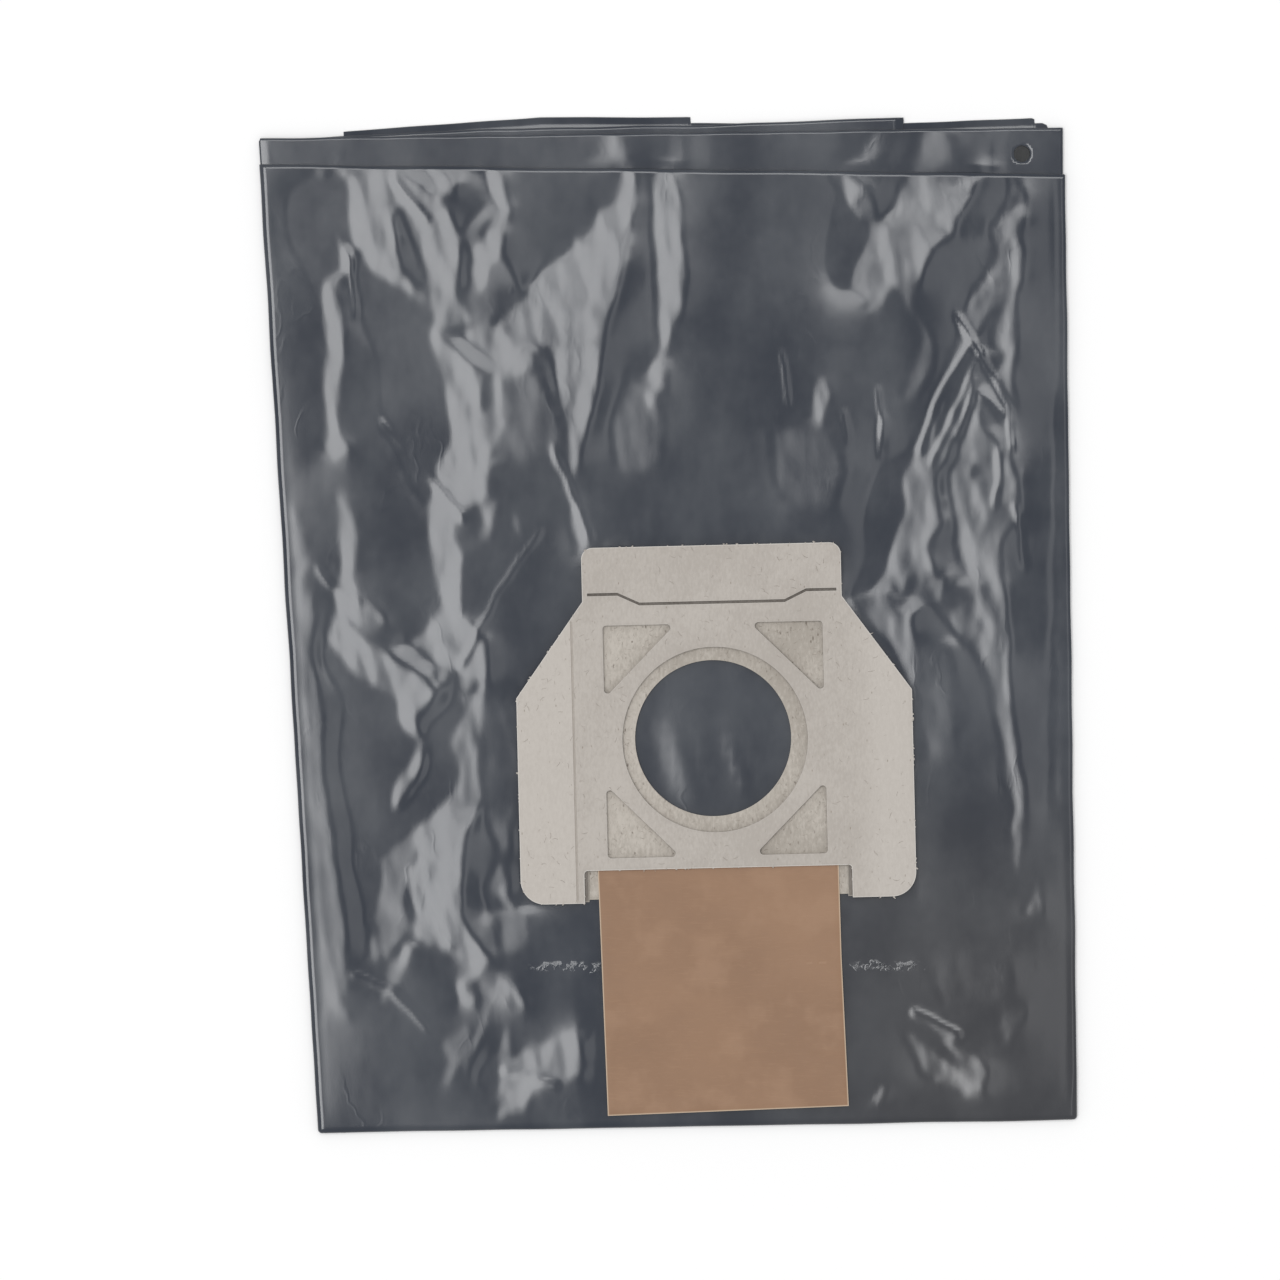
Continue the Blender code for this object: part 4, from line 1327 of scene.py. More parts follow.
CREASES = (
    Crease(((-100.1, 71.0), (-88.0, 58.0), (-72.1, 37.6)), 0.20),
    Crease(((-116.2, 138.4), (-111.0, 128.0), (-108.5, 109.0)), 0.18),
    Crease(((-96.0, 156.0), (-84.0, 142.0)), 0.22),
    Crease(((101.5, 108.8), (105.0, 102.6), (109.6, 95.3)), 0.26),
    Crease(((109.6, 95.3), (115.0, 85.0), (119.6, 76.2), (120.5, 62.0)), 0.18),
    Crease(((106.1, 98.9), (99.0, 88.0), (94.2, 79.0), (87.9, 61.2)), 0.17),
    Crease(((108.2, 92.0), (101.8, 78.5), (96.8, 66.0), (92.7, 57.4)), 0.15),
    Crease(((107.8, 86.2), (105.3, 77.7), (101.8, 66.8)), 0.13),
    Crease(((108.7, 81.7), (113.0, 79.0), (116.9, 73.5)), 0.15),
    Crease(((115.1, 60.6), (115.6, 50.0), (114.2, 42.7)), 0.14),
    Crease(((73.4, 82.6), (75.4, 71.7), (74.3, 59.9)), 0.15),
    Crease(((61.6, 74.4), (62.8, 64.5)), 0.12, 0.7),
    Crease(((39.9, 95.3), (42.6, 77.1)), 0.11, 0.7),
    Crease(((121.6, 42.0), (123.4, 30.0), (125.0, 21.0)), 0.16),
    Crease(((-57.8, -155.6), (-47.0, -158.0), (-39.2, -161.5)), 0.20),
    Crease(((-45.0, 33.0), (-60.0, 10.0), (-72.0, -14.0)), 0.14, 0.7),
    Crease(((86.8, -135.3), (94.0, -139.0), (101.2, -143.0)), 0.24, 1.4),
    Crease(((-40.0, 62.0), (-31.0, 40.0), (-28.0, 30.0)), 0.16),
    Crease(((-122.0, 20.0), (-118.0, 14.0), (-108.0, 8.0)), 0.14),
    Crease(((-110.0, -122.0), (-96.0, -128.0), (-84.0, -141.0)), 0.16),
)


# The film


@dataclass(frozen=True)
class HeightMap:
    """Heights on an even grid, and how far each place is folded."""

    left: float
    low: float
    step_x: float
    step_y: float
    heights: Array
    folded: Array

    def at(self, x: Array, y: Array) -> tuple[Array, Array]:
        """Return the heights and the foldedness at places, drawn smoothly between the points."""
        rows, columns = self.heights.shape
        across = np.clip((x - self.left) / self.step_x, 0.0, columns - 1.001)
        along = np.clip((y - self.low) / self.step_y, 0.0, rows - 1.001)
        column, row = across.astype(int), along.astype(int)
        share_x, share_y = across - column, along - row
        found = []
        for grid in (self.heights, self.folded):
            low = grid[row, column] * (1 - share_x) + grid[row, column + 1] * share_x
            high = grid[row + 1, column] * (1 - share_x) + grid[row + 1, column + 1] * share_x
            found.append(low * (1 - share_y) + high * share_y)
        return found[0], found[1]


def add_flow(total: Array, flow: Array, axis: int) -> None:
    """Take a flow from each place of a grid, and add it to the next place along an axis."""
    total, flow = np.moveaxis(total, axis, 0), np.moveaxis(flow, axis, 0)
    total[1:] += flow
    total[:-1] -= flow


def solve(pull: Callable[[Array], Array], wanted: Array, steps: int) -> Array:
    """Solve a symmetric system of equations by conjugate gradients.

    Args:
        pull: Returns the system's left side for a guess.
        wanted: The system's right side.
        steps: The most steps that are taken.

    Returns:
        The solution.
    """
    found = np.zeros(wanted.shape)
    rest = wanted - pull(found)
    way, size = rest.copy(), float(np.sum(rest * rest))
    for _ in range(steps):
        pulled = pull(way)
        share = size / float(np.sum(way * pulled))
        found += share * way
        rest -= share * pulled
        after = float(np.sum(rest * rest))
        way, size = rest + way * (after / size), after
        if size < 1e-10:
            break
    return found


@dataclass
class FilmBag:
    """The folded film: its front sheet with rolled sides, and the plies folded under it."""

    width: float = 0.2863
    length: float = 0.3553
    left_lean: float = 0.0207
    right_lean: float = 0.0042
    bottom_rise: float = 0.0046
    front_drop_left: float = 0.0151
    front_drop_right: float = 0.0186
    back_drop_left: float = 0.0074
    back_drop_right: float = 0.0035
    back_corner_inset: float = 0.0052
    back_foot: float = 0.0016
    back_counts: tuple[int, ...] = (60, 90, 12)
    back_row_counts: tuple[int, ...] = (60, 18, 10)
    back_slant_reach: float = 0.06
    back_squeeze: Point = (0.125, 0.01)
    back_bands: tuple[tuple[float, float, float, float], ...] = (
        (-0.034, 0.014, 0.018, 0.014), (0.052, 0.014, 0.122, 0.010),
    )
    back_share: Point = (0.30, 0.50)
    back_dense_from: float = 0.130
    tuck_drop: float = 0.0025
    tuck_sag: float = 0.0016
    tuck_end: float = 0.2254
    tuck_bend: float = 0.1614
    under_start: float = 0.0296
    under_step: float = 0.0021
    under_step_at: float = 0.1509
    under_bend: float = 0.0984
    under_end_inset: float = 0.0102
    under_shoulder: float = 0.0049
    under_left_drop: float = 0.0050
    under_points: tuple[int, int] = (110, 90)
    under_inset: float = 0.00015
    vent_from_right: float = 0.0193
    vent_from_top: float = 0.0126
    vent_diameter: float = 0.0060
    vent_calm: Point = (0.0055, 0.009)
    vent_zone: float = 0.0045
    vent_step: float = 0.0006
    hole_diameter: float = 0.0580
    thickness: float = 0.0004
    top_z: float = 0.0029
    back_z: float = 0.00185
    tuck_z: float = 0.00105
    outer_roll: float = 0.00145
    side_roll: float = 0.00065
    side_roll_reach: float = 0.018
    roll_turn: float = 0.93 * math.pi
    roll_points: int = 8
    overlap: Point = (0.004, 0.006)
    side_fade: float = 0.004
    collar_fade: float = 0.002
    card_fade: float = 0.008
    front_cells: tuple[int, int] = (290, 246)
    front_block: int = 2
    swell_steps: Point = (1.0, 1.3)
    valley_slope: float = -0.012
    valley_firmness: float = 0.10
    even: float = 0.10
    lit_slope: float = 0.05
    dull_share: float = 0.3
    loft: float = 0.4
    free_hold: float = 0.0004
    full_hold: float = 2.0
    sink: float = 0.25
    solver_steps: int = 700
    swell: HeightMap | None = None
    finish: DarkFilm = DarkFilm()

    def left(self, y: Array) -> Array:
        """Return the x of the left side at y."""
        top = self.length / 2 - self.front_drop_left
        return -self.width / 2 + self.left_lean * (top - y) / (top + self.length / 2)

    def right(self, y: Array) -> Array:
        """Return the x of the right side at y."""
        top = self.length / 2 - self.front_drop_right
        bottom = -self.length / 2 + self.bottom_rise
        return self.width / 2 - self.right_lean * (y - bottom) / (top - bottom)

    def bottom(self, x: Array) -> Array:
        """Return the y of the bottom fold at x."""
        start = -self.width / 2 + self.left_lean
        return -self.length / 2 + self.bottom_rise * (x - start) / (self.width / 2 - start)

    def front_top(self, x: Array) -> Array:
        """Return the y of the front ply's upper edge at x."""
        share = (x + self.width / 2) / (self.width - self.right_lean)
        fall = self.front_drop_right - self.front_drop_left
        return self.length / 2 - self.front_drop_left - fall * share

    def back_top(self, x: Array) -> Array:
        """Return the y of the back ply's upper edge at x."""
        share = (x + self.width / 2) / self.width
        rise = self.back_drop_left - self.back_drop_right
        return self.length / 2 - self.back_drop_left + rise * share

    def from_sides(self, x: Array, y: Array) -> Array:
        """Return how far places lie inside the left side, the right side and the bottom."""
        return np.minimum(np.minimum(x - self.left(y), self.right(y) - x), y - self.bottom(x))

    def relief(self, x: Array, y: Array, collar: "Collar") -> Array:
        """Return how far the front ply stands above its flat level.

        Args:
            x: Places across the bag, in metres.
            y: Places up the bag, in metres.
            collar: The collar, under and near which the film lies flat.

        Returns:
            The heights, in metres.
        """
        if self.swell is None:
            self.swell = self.solve_swell(collar)
        across, along = x / MM, y / MM
        height, folded = self.swell.at(x, y)
        for ripple in FOLD_RIPPLES:
            height += ripple.at(across, along, folded)
        bent_x = across + CREASE_BEND.at(across, along)
        for crease in CREASES:
            height += crease.height(bent_x, along)
        height += sum(ripple.at(across, along) for ripple in CALM_RIPPLES)
        edge = ease((self.from_sides(x, y) - self.outer_roll) / self.side_fade)
        local_x, local_y = collar.local(x, y)
        from_collar = loop_distance(local_x, local_y, collar.cover_loop())
        clear = ease(from_collar / self.collar_fade + 1.0)
        card = ease(loop_distance(local_x, local_y, collar.card_loop) / self.card_fade)
        room = collar.card_room / MM
        low = room * (1.0 - np.exp(-np.maximum(height, 0.0) / room))
        height = np.maximum(height, -self.sink)
        return edge * clear * (card * height + (1.0 - card) * low) * MM

    def solve_swell(self, collar: "Collar") -> HeightMap:
        """Return the film's swell: the sheet whose slopes across the bag follow the folds.

        The slopes ask for more than one height at many places, so the heights are the least
        squares of all the wishes: the folds' slopes, gentle falls between them, even heights up
        the bag, and a film that is held down at its edges and under the collar.

        Args:
            collar: The collar that holds the film down.

        Returns:
            The heights in millimetres.
        """
        step_x, step_y = self.swell_steps
        across, along = (
            np.arange(-size / 2 / MM, size / 2 / MM + step, step)
            for size, step in ((self.width, step_x), (self.length, step_y)))
        x, y = np.meshgrid(across, along)
        bent_x = x + FOLD_BENDS[0].at(x, y) + FOLD_BENDS[1].at(x, y)
        bent_y = y + FOLD_BEND_ALONG.at(x, y)
        wish = np.full(x.shape, self.valley_slope)
        folded, firmness = np.zeros(x.shape), np.zeros(x.shape)
        for fold in sorted(FOLDS, key=lambda item: item.slope):
            cover = fold.cover(bent_x, bent_y)
            wish = wish * (1.0 - cover) + fold.slope * cover
            firmness = np.maximum(firmness, cover)
            share = 1.0 if fold.slope > self.lit_slope else self.dull_share
            folded = np.maximum(folded, cover * share)
        gap = loop_distance(*collar.local(x * MM, y * MM), collar.cover_loop()) / MM
        sides = self.from_sides(x * MM, y * MM) / MM
        held = np.maximum(ease(0.5 - gap / 2.0), ease(-(sides - 1.4) / 2.0 + 1.0))
        firm = self.valley_firmness + (1.0 - self.valley_firmness) * firmness
        firm_x = (firm[:, 1:] + firm[:, :-1]) / 2 / step_x ** 2
        wish_x = (wish[:, 1:] + wish[:, :-1]) / 2 * step_x
        firm_y = self.even / step_y ** 2
        hold = self.free_hold + self.full_hold * held

        def pull(heights: Array) -> Array:
            """Return what the wishes ask of heights."""
            total = hold * heights
            add_flow(total, firm_x * np.diff(heights, axis=1), 1)
            add_flow(total, firm_y * np.diff(heights, axis=0), 0)
            return total

        wanted = np.full(x.shape, self.free_hold * self.loft)
        add_flow(wanted, firm_x * wish_x, 1)
        heights = solve(pull, wanted, self.solver_steps)
        LOG.info("film swell from %.2f to %.2f mm", heights.min(), heights.max())
        return HeightMap(
            across[0] * MM, along[0] * MM, step_x * MM, step_y * MM, heights, folded)

    def build_front(self, collar: "Collar") -> bpy.types.Object:
        """Build the front ply with its rolled left, right and bottom edges.

        Args:
            collar: The collar that is glued to the film.

        Returns:
            The front sheet.
        """
        half = self.thickness / 2
        columns, rows = self.front_cells
        turns = np.linspace(self.roll_turn, 0.0, self.roll_points)[:-1]
        start, end = np.zeros(len(turns)), np.ones(len(turns))
        side = np.concatenate([turns, np.zeros(columns + 1), -turns[::-1]])
        share_x = np.concatenate([start, np.linspace(0.0, 1.0, columns + 1), end])
        share_y = np.concatenate([start, np.linspace(0.0, 1.0, rows + 1)])[:, None]
        turn_x, turn_y = np.meshgrid(
            np.abs(side), np.concatenate([turns, np.zeros(rows + 1)]))
        low, high = -self.length / 2 + self.outer_roll, self.length / 2 - self.front_drop_left
        guess = low + (high - low) * share_y
        lift = ease(1.0 - (guess - low) / self.side_roll_reach)
        side_radius = self.side_roll + (self.outer_roll - self.side_roll) * lift - half
        x_left = self.left(guess) + self.outer_roll + LEFT_WAVE.along_line(guess)
        x_right = self.right(guess) - side_radius - half + RIGHT_WAVE.along_line(guess)
        x = x_left + (x_right - x_left) * share_x
        y_low = self.bottom(x) + self.outer_roll + FOOT_WAVE.along_line(x)
        y_high = self.front_top(x) + FRONT_TOP_WAVE.along_line(x)
        y = y_low + (y_high - y_low) * share_y
        middle, radius = collar.inlet_middle(), self.hole_diameter / 2
        keep, _ = punch(x, y, middle, radius, 1.3, self.front_block)
        height = self.relief(x, y, collar)
        height[1:-1, 1:-1] = (
            height[1:-1, 1:-1] * 4 + height[:-2, 1:-1] + height[2:, 1:-1]
            + height[1:-1, :-2] + height[1:-1, 2:]) / 8
        turn = np.maximum(turn_x, turn_y)
        heading = np.arctan2(turn_y, np.maximum(turn_x, 1e-9)) * (turn > 0)
        wide = self.outer_roll - half
        radius = np.where(side > 0, wide, side_radius) * np.cos(heading) ** 2
        radius = radius + wide * np.sin(heading) ** 2
        out = radius * np.sin(turn)
        x -= np.sign(side) * out * np.cos(heading)
        y -= out * np.sin(heading)
        z = self.top_z - half - radius + radius * np.cos(turn) + height * (turn == 0)
        mid = np.stack([x, y, z], axis=2)
        return sheet_object("film_front_ply", mid, self.thickness, keep, self.front_block)

    def build_back(self, collar: "Collar") -> bpy.types.Object:
        """Build the back ply and the ply tucked under it, joined by their fold on the left.

        Args:
            collar: The collar, which presses the film flat.

        Returns:
            The folded sheet.
        """
        top = self.length / 2
        left_top = self.left(np.array(top)) + self.outer_roll
        back_right = self.width / 2 - self.back_corner_inset
        tuck_right = -self.width / 2 + self.tuck_end
        vent = self.width / 2 - self.vent_from_right, top - self.vent_from_top
        fine_x, fine_y = (
            np.arange(place - self.vent_zone, place + self.vent_zone + 0.0001, self.vent_step)
            for place in vent)
        turns = np.linspace(0.0, math.pi, self.roll_points + 1)[1:-1]
        under, middle, end = self.back_counts
        tuck_x = np.linspace(tuck_right, left_top, under)
        back_x = np.concatenate([
            np.linspace(left_top, fine_x[0], middle)[:-1], fine_x,
            np.linspace(fine_x[-1], back_right, end)[1:],
        ])
        low, middle, end = self.back_row_counts
        rows_y = np.concatenate([
            np.linspace(-top + self.back_foot, self.back_dense_from, low)[:-1],
            np.linspace(self.back_dense_from, fine_y[0], middle)[:-1], fine_y,
            np.linspace(fine_y[-1], top, end)[1:],
        ])[:, None]
        turn = np.concatenate([np.full(len(tuck_x), math.pi), turns[::-1], np.zeros(len(back_x))])
        is_back = turn == 0
        x = np.concatenate([tuck_x, np.full(len(turns), left_top), back_x])
        slant = self.left(rows_y) + self.outer_roll - left_top
        x = x + slant * np.clip(1.0 - (x - left_top) / self.back_slant_reach, 0.0, 1.0)
        squeeze = self.right(rows_y) - self.side_roll - back_right
        squeeze = np.where(rows_y < top - self.front_drop_right, squeeze, 0.0)
        start, reach = self.back_squeeze
        x = x + is_back * squeeze * np.clip((x - start) / reach, 0.0, 1.0)
        level = top - self.tuck_drop
        knots, tops = np.array([
            (left_top, self.back_top(left_top) - self.tuck_sag / 2),
            (-self.width / 2 + self.tuck_bend / 2, level - self.tuck_sag),
            (-self.width / 2 + self.tuck_bend, level),
            (tuck_right, top),
        ]).T
        top_line = np.where(is_back, self.back_top(x), np.interp(x, knots, tops))
        top_line = top_line + BACK_TOP_WAVE.at(x, turn)
        low_line = self.bottom(x) + self.outer_roll
        share = (rows_y - rows_y[0]) / (rows_y[-1] - rows_y[0])
        y = rows_y + (low_line - rows_y[0]) * (1.0 - share) + (top_line - top) * share ** 6
        keep, from_vent = punch(x, y, vent, self.vent_diameter / 2, 1.6, 1)
        height = self.back_relief(x, y, from_vent, collar) * is_back
        height = height + collar.inlet_relief(x, y) * is_back
        radius = (self.back_z - self.tuck_z) / 2
        z = self.tuck_z + radius + radius * np.cos(turn) + height
        mid = np.stack([x - radius * np.sin(turn), y, z], axis=2)
        return sheet_object("film_back_ply", mid, self.thickness, keep)

    def back_relief(self, x: Array, y: Array, from_vent: Array, collar: "Collar") -> Array:
        """Return how far the back ply stands above its flat level.

        Args:
            x: Places across the bag.
            y: Places up the bag.
            from_vent: How far they lie from the vent's middle.
            collar: The collar, which presses the film flat.

        Returns:
            The heights: a share of the front's under it, and in two bands above it.
        """
        reach, soft = self.overlap
        base, more = self.back_share
        calm, calm_soft = self.vent_calm
        shown = ease((y - self.front_top(x) + reach) / soft)
        bands = sum(
            ease((x - start) / rise) * ease((end - x) / fall)
            for start, rise, end, fall in self.back_bands)
        bands = bands + (1.0 - bands) * ease((self.front_top(x) - reach - y) / soft)
        bands = bands * ease((from_vent - calm) / calm_soft)
        return self.relief(x, y, collar) * (base + more * shown) * bands

    def build_under(self) -> bpy.types.Object:
        """Build the rearmost ply, whose upper edge has steps.

        Returns:
            The rear sheet.
        """
        left, top = -self.width / 2, self.length / 2
        left_top = self.left(np.array(top)) + self.outer_roll
        right = self.width / 2 - self.under_end_inset
        low_left, shoulder = self.back_top(left_top) - 0.0005, top - self.under_step
        start, step = left + self.under_start, left + self.under_step_at
        bump = right - self.under_shoulder
        knots, heights = np.array([
            (left_top, low_left), (start - 0.0001, low_left), (start, top - self.under_left_drop),
            (left + self.under_bend, top), (step, top), (step + 0.0001, shoulder),
            (left + self.tuck_end, shoulder), (bump - 0.0008, top - self.under_step / 6),
            (bump, top - self.under_step / 3), (bump + 0.0001, shoulder),
            (right - 0.0020, shoulder), (right - 0.0006, shoulder - 0.0006),
            (right, shoulder - 0.0020),
        ]).T
        across, along = self.under_points
        columns = np.unique(np.concatenate([np.linspace(left_top, right, across), knots]))
        y_high = np.interp(columns, knots, heights) + UNDER_TOP_WAVE.along_line(columns)
        y_low = self.bottom(columns) + self.outer_roll - self.under_inset
        y = y_low + (y_high - y_low) * np.linspace(0.0, 1.0, along)[:, None]
        x_left = self.left(y) + self.outer_roll - self.under_inset
        x = x_left + (right - x_left) * np.interp(columns, [left_top, right], [0.0, 1.0])
        gentle = REAR_RIPPLE.at(x, y) * ease((0.14 - np.abs(x)) / 0.02)
        mid = np.stack([x, y, self.thickness / 2 + np.maximum(gentle, 0.0)], axis=2)
        return sheet_object("film_under_ply", mid, self.thickness)

    def build(self, collar: "Collar") -> list[bpy.types.Object]:
        """Build and dress the film's sheets.

        Args:
            collar: The collar that is glued to the film.

        Returns:
            The finished sheets.
        """
        sheets = [self.build_front(collar), self.build_back(collar), self.build_under()]
        for sheet, node in zip(sheets, ("film_bag", "", "")):
            dress(sheet, Part.BAG, self.finish, node)
        return sheets


# The collar and the card


@dataclass
class Collar:
    """The board collar: a back board, a middle board and a top board around the inlet."""

    middle: Point = (0.0165, -0.0399)
    turn: float = math.radians(1.35)
    width: float = 0.1384
    shoulder_y: float = 0.0160
    tab_width: float = 0.0908
    tab_foot: float = 0.0492
    tab_top: float = 0.0680
    foot: float = -0.0563
    notch_width: float = 0.0937
    notch_y: float = -0.0449
    tab_radius: float = 0.0040
    foot_radius: float = 0.0085
    notch_radius: float = 0.0013
    shoulder_radius: float = 0.0008
    recess_diameter: float = 0.0649
    inlet_diameter: float = 0.0546
    inlet_shift: Point = (-0.0007, 0.0005)
    window: Point = (0.0385, 0.0407)
    window_leg: float = 0.0256
    window_radius: float = 0.0013
    slit_width: float = 0.0010
    slit_route: tuple[Point, ...] = (
        (-0.0436, 0.0516), (-0.0330, 0.0516), (-0.0254, 0.0480),
        (0.0254, 0.0480), (0.0330, 0.0516), (0.0436, 0.0516),
    )
    card_loop: tuple[Point, ...] = (
        (0.0455, -0.135), (0.0455, -0.0500), (-0.0435, -0.0500), (-0.0435, -0.135),
    )
    card_room: float = 0.0010
    score_x: float = 0.0494
    score_step: float = 0.0012
    score_sides: tuple[float, ...] = (-0.0004, -0.00015, 0.00015, 0.0004)
    channel_width: float = 0.0906
    channel_end: float = 0.0440
    arch_inset: float = 0.0005
    back_inset: float = 0.0008
    back_foot_inset: float = 0.0013
    wing_bow: float = 0.00030
    tab_bow: float = 0.00020
    score_depth: float = 0.00036
    nib_shift: float = 0.00005
    nib_depth: float = 0.0003
    back_z: Point = (0.0032, 0.0042)
    spacer_z: Point = (0.0045, 0.0051)
    top_z: Point = (0.0054, 0.0064)
    # The top board gets painted light on its wings and painted shade along its score.
    top_finish: Board = Board(painted_light_share=0.55)
    back_finish: Board = Board(
        "back_board", (0.515, 0.475, 0.425), (0.375, 0.340, 0.298), (0.125, 0.102, 0.080),
        (0.560, 0.520, 0.450), fleck_size=0.30, relief=0.00009)
    # Painted shade: the middle board is coloured much darker than the others, standing for the
    # shade in the slit and along the card's channel.
    shaded_spacer_finish: Board = Board(
        "spacer_board", (0.210, 0.190, 0.170), (0.150, 0.132, 0.116), (0.090, 0.075, 0.060),
        (0.52, 0.48, 0.42))
    pale_fibre: Fibre = Fibre("pale_fibre", (0.560, 0.520, 0.470), (0.660, 0.620, 0.570))

    def local(self, x: Array, y: Array) -> tuple[Array, Array]:
        """Return places on the bag as seen from the collar."""
        across, along = x - self.middle[0], y - self.middle[1]
        c, s = math.cos(self.turn), math.sin(self.turn)
        return across * c + along * s, along * c - across * s

    def place(self, points: Array) -> Array:
        """Return points of the collar as points of the bag."""
        return turned(points, self.turn, self.middle)

    def inlet_middle(self) -> Point:
        """Return the middle of the inlet on the bag."""
        x, y = self.place(np.array([self.inlet_shift]))[0]
        return float(x), float(y)

    def outline(self, inset: float, foot: float, notched: bool) -> list[Point]:
        """Return the collar's outline.

        Args:
            inset: How far the outline is drawn in.
            foot: The y of the outline's foot.
            notched: Whether the foot has the card's notch.

        Returns:
            The outline's points.
        """
        tab, side, notch = (
            size / 2 for size in (self.tab_width, self.width, self.notch_width))
        corners = [(notch, self.notch_y, self.notch_radius), (notch, foot, 0.0)]
        return rounded(mirrored((corners if notched else []) + [
            (side - inset, foot, self.foot_radius - inset),
            (side - inset, self.shoulder_y, self.shoulder_radius),
            (tab - inset, self.tab_foot, 0.0),
            (tab - inset, self.tab_top - inset, self.tab_radius - inset),
        ]))

    def arch(self) -> list[Point]:
        """Return the outline of the middle board, which leaves the card's channel open."""
        half, inset = self.channel_width / 2, self.arch_inset
        tab, side, foot = self.tab_width / 2 - inset, self.width / 2 - inset, self.foot + inset
        return rounded(mirrored([
            (half, self.channel_end, 0.0), (half, foot, 0.0), (side, foot, self.foot_radius),
            (side, self.shoulder_y, self.shoulder_radius), (tab, self.tab_foot, 0.0),
            (tab, self.tab_top - inset, self.tab_radius),
        ]))

    def cover_loop(self) -> list[Point]:
        """Return the loop that the boards cover, with sharp corners."""
        side, tab = self.width / 2, self.tab_width / 2
        return rounded(mirrored([
            (side, self.foot, 0.0), (side, self.shoulder_y, 0.0),
            (tab, self.tab_foot, 0.0), (tab, self.tab_top, 0.0),
        ]))

    def inlet_relief(self, x: Array, y: Array) -> Array:
        """Return the gentle relief of the film that is seen through the inlet."""
        middle = self.inlet_middle()
        across, along = (x - middle[0]) / MM, (y - middle[1]) / MM
        held = ease((26.0 - np.hypot(across, along)) / 7.0)
        bent = across + INLET_BEND.at(across, along)
        return held * sum(fold.height(bent, along) for fold in INLET_FOLDS) * MM

    def windows(self) -> list[list[Point]]:
        """Return the four three-sided windows."""
        loops = []
        for across, along in ((-1, -1), (-1, 1), (1, -1), (1, 1)):
            x, y = across * self.window[0], along * self.window[1]
            corners = (x, y), (x - across * self.window_leg, y), (x, y - along * self.window_leg)
            loops.append(rounded([(*corner, self.window_radius) for corner in corners]))
        return loops

    def slit(self) -> list[Point]:
        """Return the cranked slit across the foot of the tab."""
        half = self.slit_width / 2
        upper = [(x, y + half) for x, y in self.slit_route]
        return upper + [(x, y - half) for x, y in reversed(self.slit_route)]

    def score_lines(self) -> list[list[Point]]:
        """Return the lines along the pressed score on the left."""
        rows = np.arange(self.foot + self.score_step, self.tab_foot - 0.0068, self.score_step)
        return [[(side - self.score_x, y) for y in rows.tolist()] for side in self.score_sides]

    def top_lift(self, x: Array, y: Array) -> Array:
        """Return how far the top board stands above its level."""
        wing = ease((np.abs(x) - 0.046) / 0.023)
        bow = self.wing_bow * wing * (0.6 + 0.4 * soft_noise(x / 0.03 + 9.0, y / 0.04, 21))
        tab = self.tab_bow * ease((y - 0.050) / 0.018)
        score = -self.score_depth * np.exp(-(((x + self.score_x) / 0.00025) ** 4))
        return bow + tab + score * (y < self.tab_foot - 0.006) + BOARD_RIPPLE.at(x, y)

    def build(self) -> list[bpy.types.Object]:
        """Build and dress the boards, their fibres and their nibs.

        Returns:
            The finished pieces, with the boards first.
        """
        top = BoardShape(
            self.outline(0.0, self.foot, True),
            [circle(self.recess_diameter), *self.windows(), self.slit()],
            *self.top_z, lines=self.score_lines(), step=0.0016,
        ).build("collar_face_board", self.place, self.top_lift)
        spacer = BoardShape(self.arch(), [], *self.spacer_z).build(
            "collar_channel_board", self.place)
        back = BoardShape(
            self.outline(self.back_inset, self.foot + self.back_foot_inset, False),
            [circle(self.inlet_diameter, *self.inlet_shift)], *self.back_z,
        ).build("collar_rear_board", self.place)
        dress(top, Part.BAG, self.top_finish, "collar_top_plate")
        dress(spacer, Part.BAG, self.shaded_spacer_finish, "collar_spacer")
        dress(back, Part.BAG, self.back_finish, "collar_back_plate")
        return [top, spacer, back, *self.build_details(top, back)]

    def build_details(self, top: bpy.types.Object,
                      back: bpy.types.Object) -> list[bpy.types.Object]:
        """Grow the fibres on the boards and the nibs along the cut outline.

        Args:
            top: The top board.
            back: The back board.

        Returns:
            The grown pieces.
        """
        route = np.array(self.outline(-self.nib_shift, self.foot - self.nib_shift, True))
        level = np.full(len(route), self.top_z[1] - self.nib_depth)
        path = self.place(np.column_stack([route, level + self.top_lift(*route.T)]))
        pale = LooseFibres(16000.0, 0.0019, 0.00006, 6, self.pale_fibre)
        rear = LooseFibres(190000.0, 0.0010, 0.00008, 7)
        details = [
            (LooseFibres().build(top, "collar_dark_fibres"), self.top_finish),
            (pale.build(top, "collar_pale_fibres"), self.top_finish),
            (rear.build(back, "collar_rear_fibres"), self.back_finish),
            (DieNibs().build(path, "collar_edge_nibs", self.top_finish), self.top_finish),
        ]
        for piece, finish in details:
            dress(piece, Part.BAG)
        return [piece for piece, _ in details]


@dataclass
class ShutterCard:
    """The brown card that hangs out of the collar's channel."""

    width: float = 0.0843
    length: float = 0.0882
    tilt: float = math.radians(1.0)
    top_y: float = -0.0418
    knee: float = 0.0004
    knee_at: float = 0.0360
    levels: Point = (0.0045, 0.0051)
    finish: BrownCard = BrownCard()

    def build(self, collar: Collar) -> bpy.types.Object:
        """Build and dress the card.

        Args:
            collar: The collar whose channel guides the card.

        Returns:
            The finished card.
        """
        half = self.width / 2
        outline = [
            (-half, 0.0), (-half, -self.length), (half, -self.length),
            (half - self.knee, -self.knee_at), (half, 0.0),
        ]
        shape = BoardShape(outline, [], *self.levels, step=0.0018, rim=0.00050, drop=0.0001)
        card = shape.build("sliding_card", lambda points: collar.place(
            turned(points, self.tilt, (0.0, self.top_y))))
        dress(card, Part.SHUTTER, self.finish, "shutter_card")
        return card


# The studio


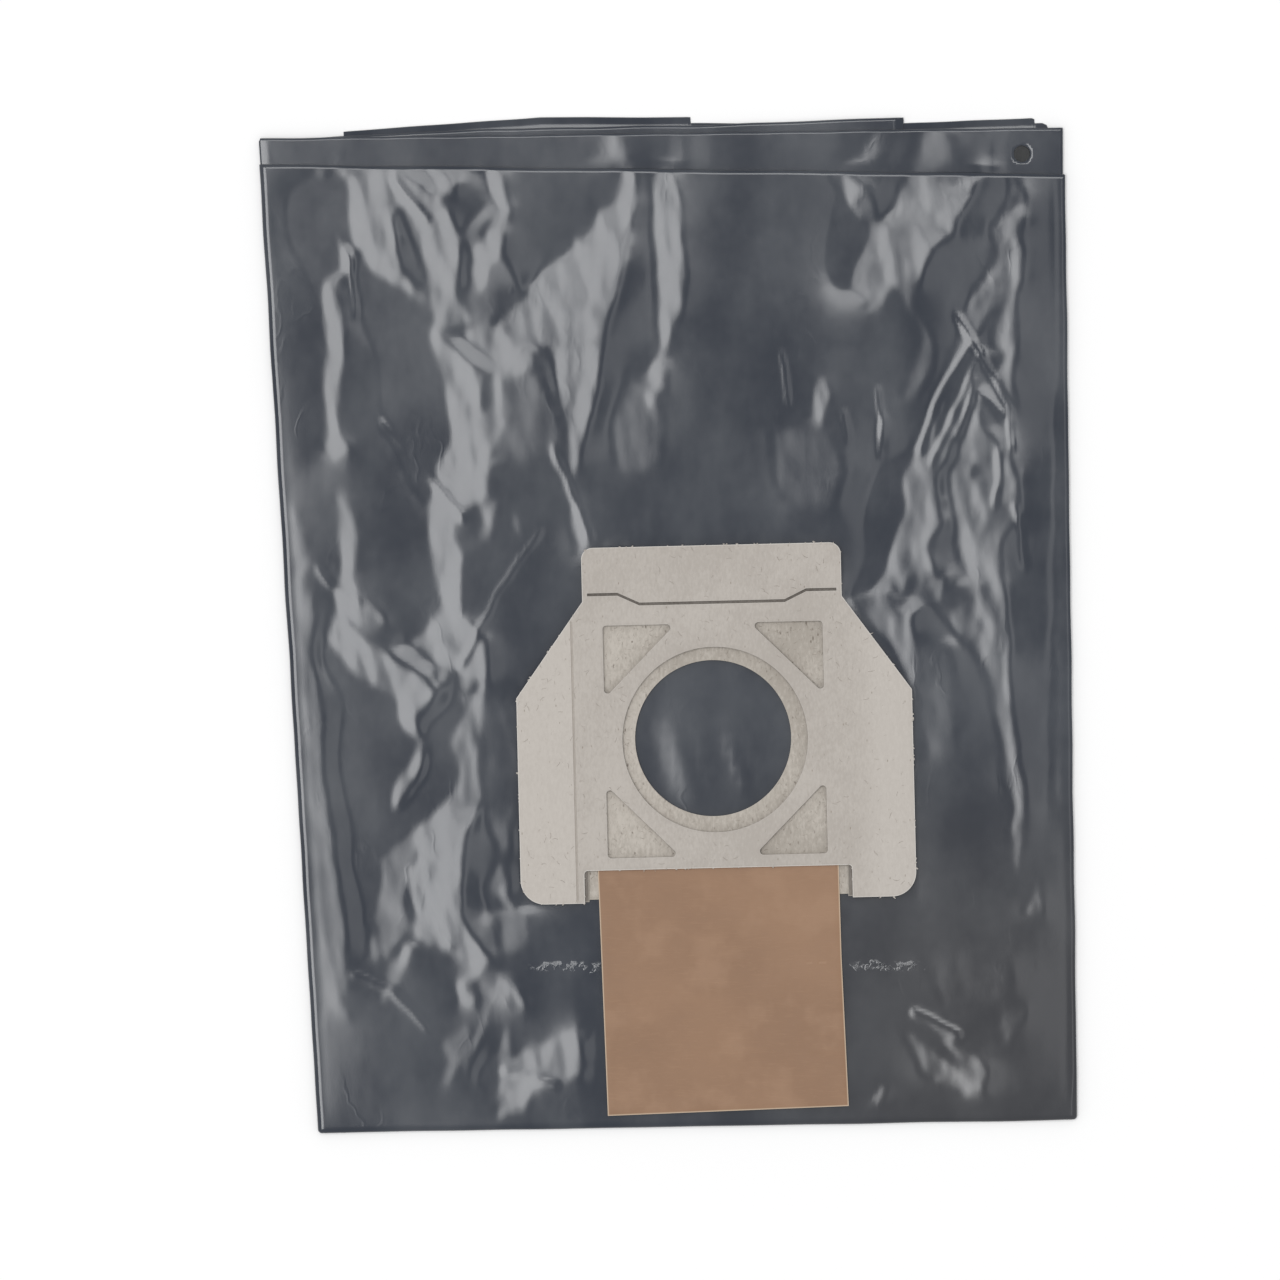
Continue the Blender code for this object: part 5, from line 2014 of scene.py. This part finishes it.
@dataclass(frozen=True)
class Lamp:
    """A soft lamp that faces the bag, where a radiance of 1 is as bright as white."""

    name: str
    place: Triple
    size: Point
    radiance: float

    def hang(self) -> None:
        """Add the lamp to the scene."""
        light = bpy.data.lights.new(self.name, "AREA")
        light.shape = "RECTANGLE"
        light.size, light.size_y = self.size
        light.energy = self.radiance * math.pi * self.size[0] * self.size[1]
        lamp = link_object(self.name, light)
        lamp.location = self.place
        toward = Vector(self.place).normalized()
        level = (Vector((1.0, 0.0, 0.0)) - toward * toward.x).normalized()
        turn = Matrix((level, toward.cross(level), toward)).transposed()
        lamp.rotation_euler = turn.to_euler()
        lamp.visible_camera = False


LAMPS = (
    Lamp("lamp_left", (-1.69, 0.0, 7.9), (2.0, 4.4), 8.0),
    Lamp("lamp_near_left", (-0.53, 0.0, 7.95), (0.36, 2.6), 3.2),
    Lamp("lamp_top", (0.60, 1.60, 7.9), (2.2, 1.9), 5.6),
    Lamp("lamp_right", (0.98, -0.2, 7.9), (0.74, 3.4), 1.25),
)


@dataclass
class Studio:
    """The floor, the lamps and the camera."""

    frame_width: float = 0.448
    middle: Point = (-0.0098, -0.0051)
    distance: float = 8.0
    sensor: float = 36.0
    ambient: float = 0.56
    floor_half: float = 30.0
    floor_z: float = -0.0002
    finish: PaleFloor = PaleFloor()

    def build_floor(self) -> None:
        """Lay the pale floor under the bag."""
        corners = np.array([
            (x * self.floor_half, y * self.floor_half, self.floor_z)
            for x, y in ((-1, -1), (1, -1), (1, 1), (-1, 1))])
        floor = mesh_object("floor", corners, [[0, 1, 2, 3]], smooth=False)
        floor.data.materials.append(self.finish.material())

    def build_world(self) -> None:
        """Light the bag from all round, with plain white behind it and in its reflections."""
        world = bpy.data.worlds.new("studio")
        bpy.context.scene.world = world
        world.use_nodes = True
        graph = Graph(world.node_tree)
        background = world.node_tree.nodes["Background"]
        strength = graph.seen_directly() * (1.0 - self.ambient) + self.ambient
        graph.feed(background.inputs["Color"], (1.0, 1.0, 1.0))
        graph.feed(background.inputs["Strength"], strength)

    def build_camera(self) -> None:
        """Set a long lens straight above the bag."""
        camera = bpy.data.cameras.new("camera")
        camera.sensor_width = self.sensor
        camera.lens = self.sensor * self.distance / self.frame_width
        camera.clip_end = 200.0
        view = link_object("camera", camera)
        view.location = (*self.middle, self.distance)
        bpy.context.scene.camera = view

    def build(self) -> None:
        """Build the whole studio."""
        self.build_floor()
        self.build_world()
        for lamp in LAMPS:
            lamp.hang()
        self.build_camera()
        bpy.context.scene.view_settings.view_transform = "Standard"


def main() -> None:
    """Build the studio and the bag, piece by piece."""
    logging.basicConfig(level=logging.INFO, format="%(name)s: %(message)s")
    Studio().build()
    collar = Collar()
    pieces = [*FilmBag().build(collar), *collar.build(), ShutterCard().build(collar)]
    for piece in pieces:
        LOG.info("%s: %d faces", piece.name, len(piece.data.polygons))


if __name__ == "__main__":
    main()
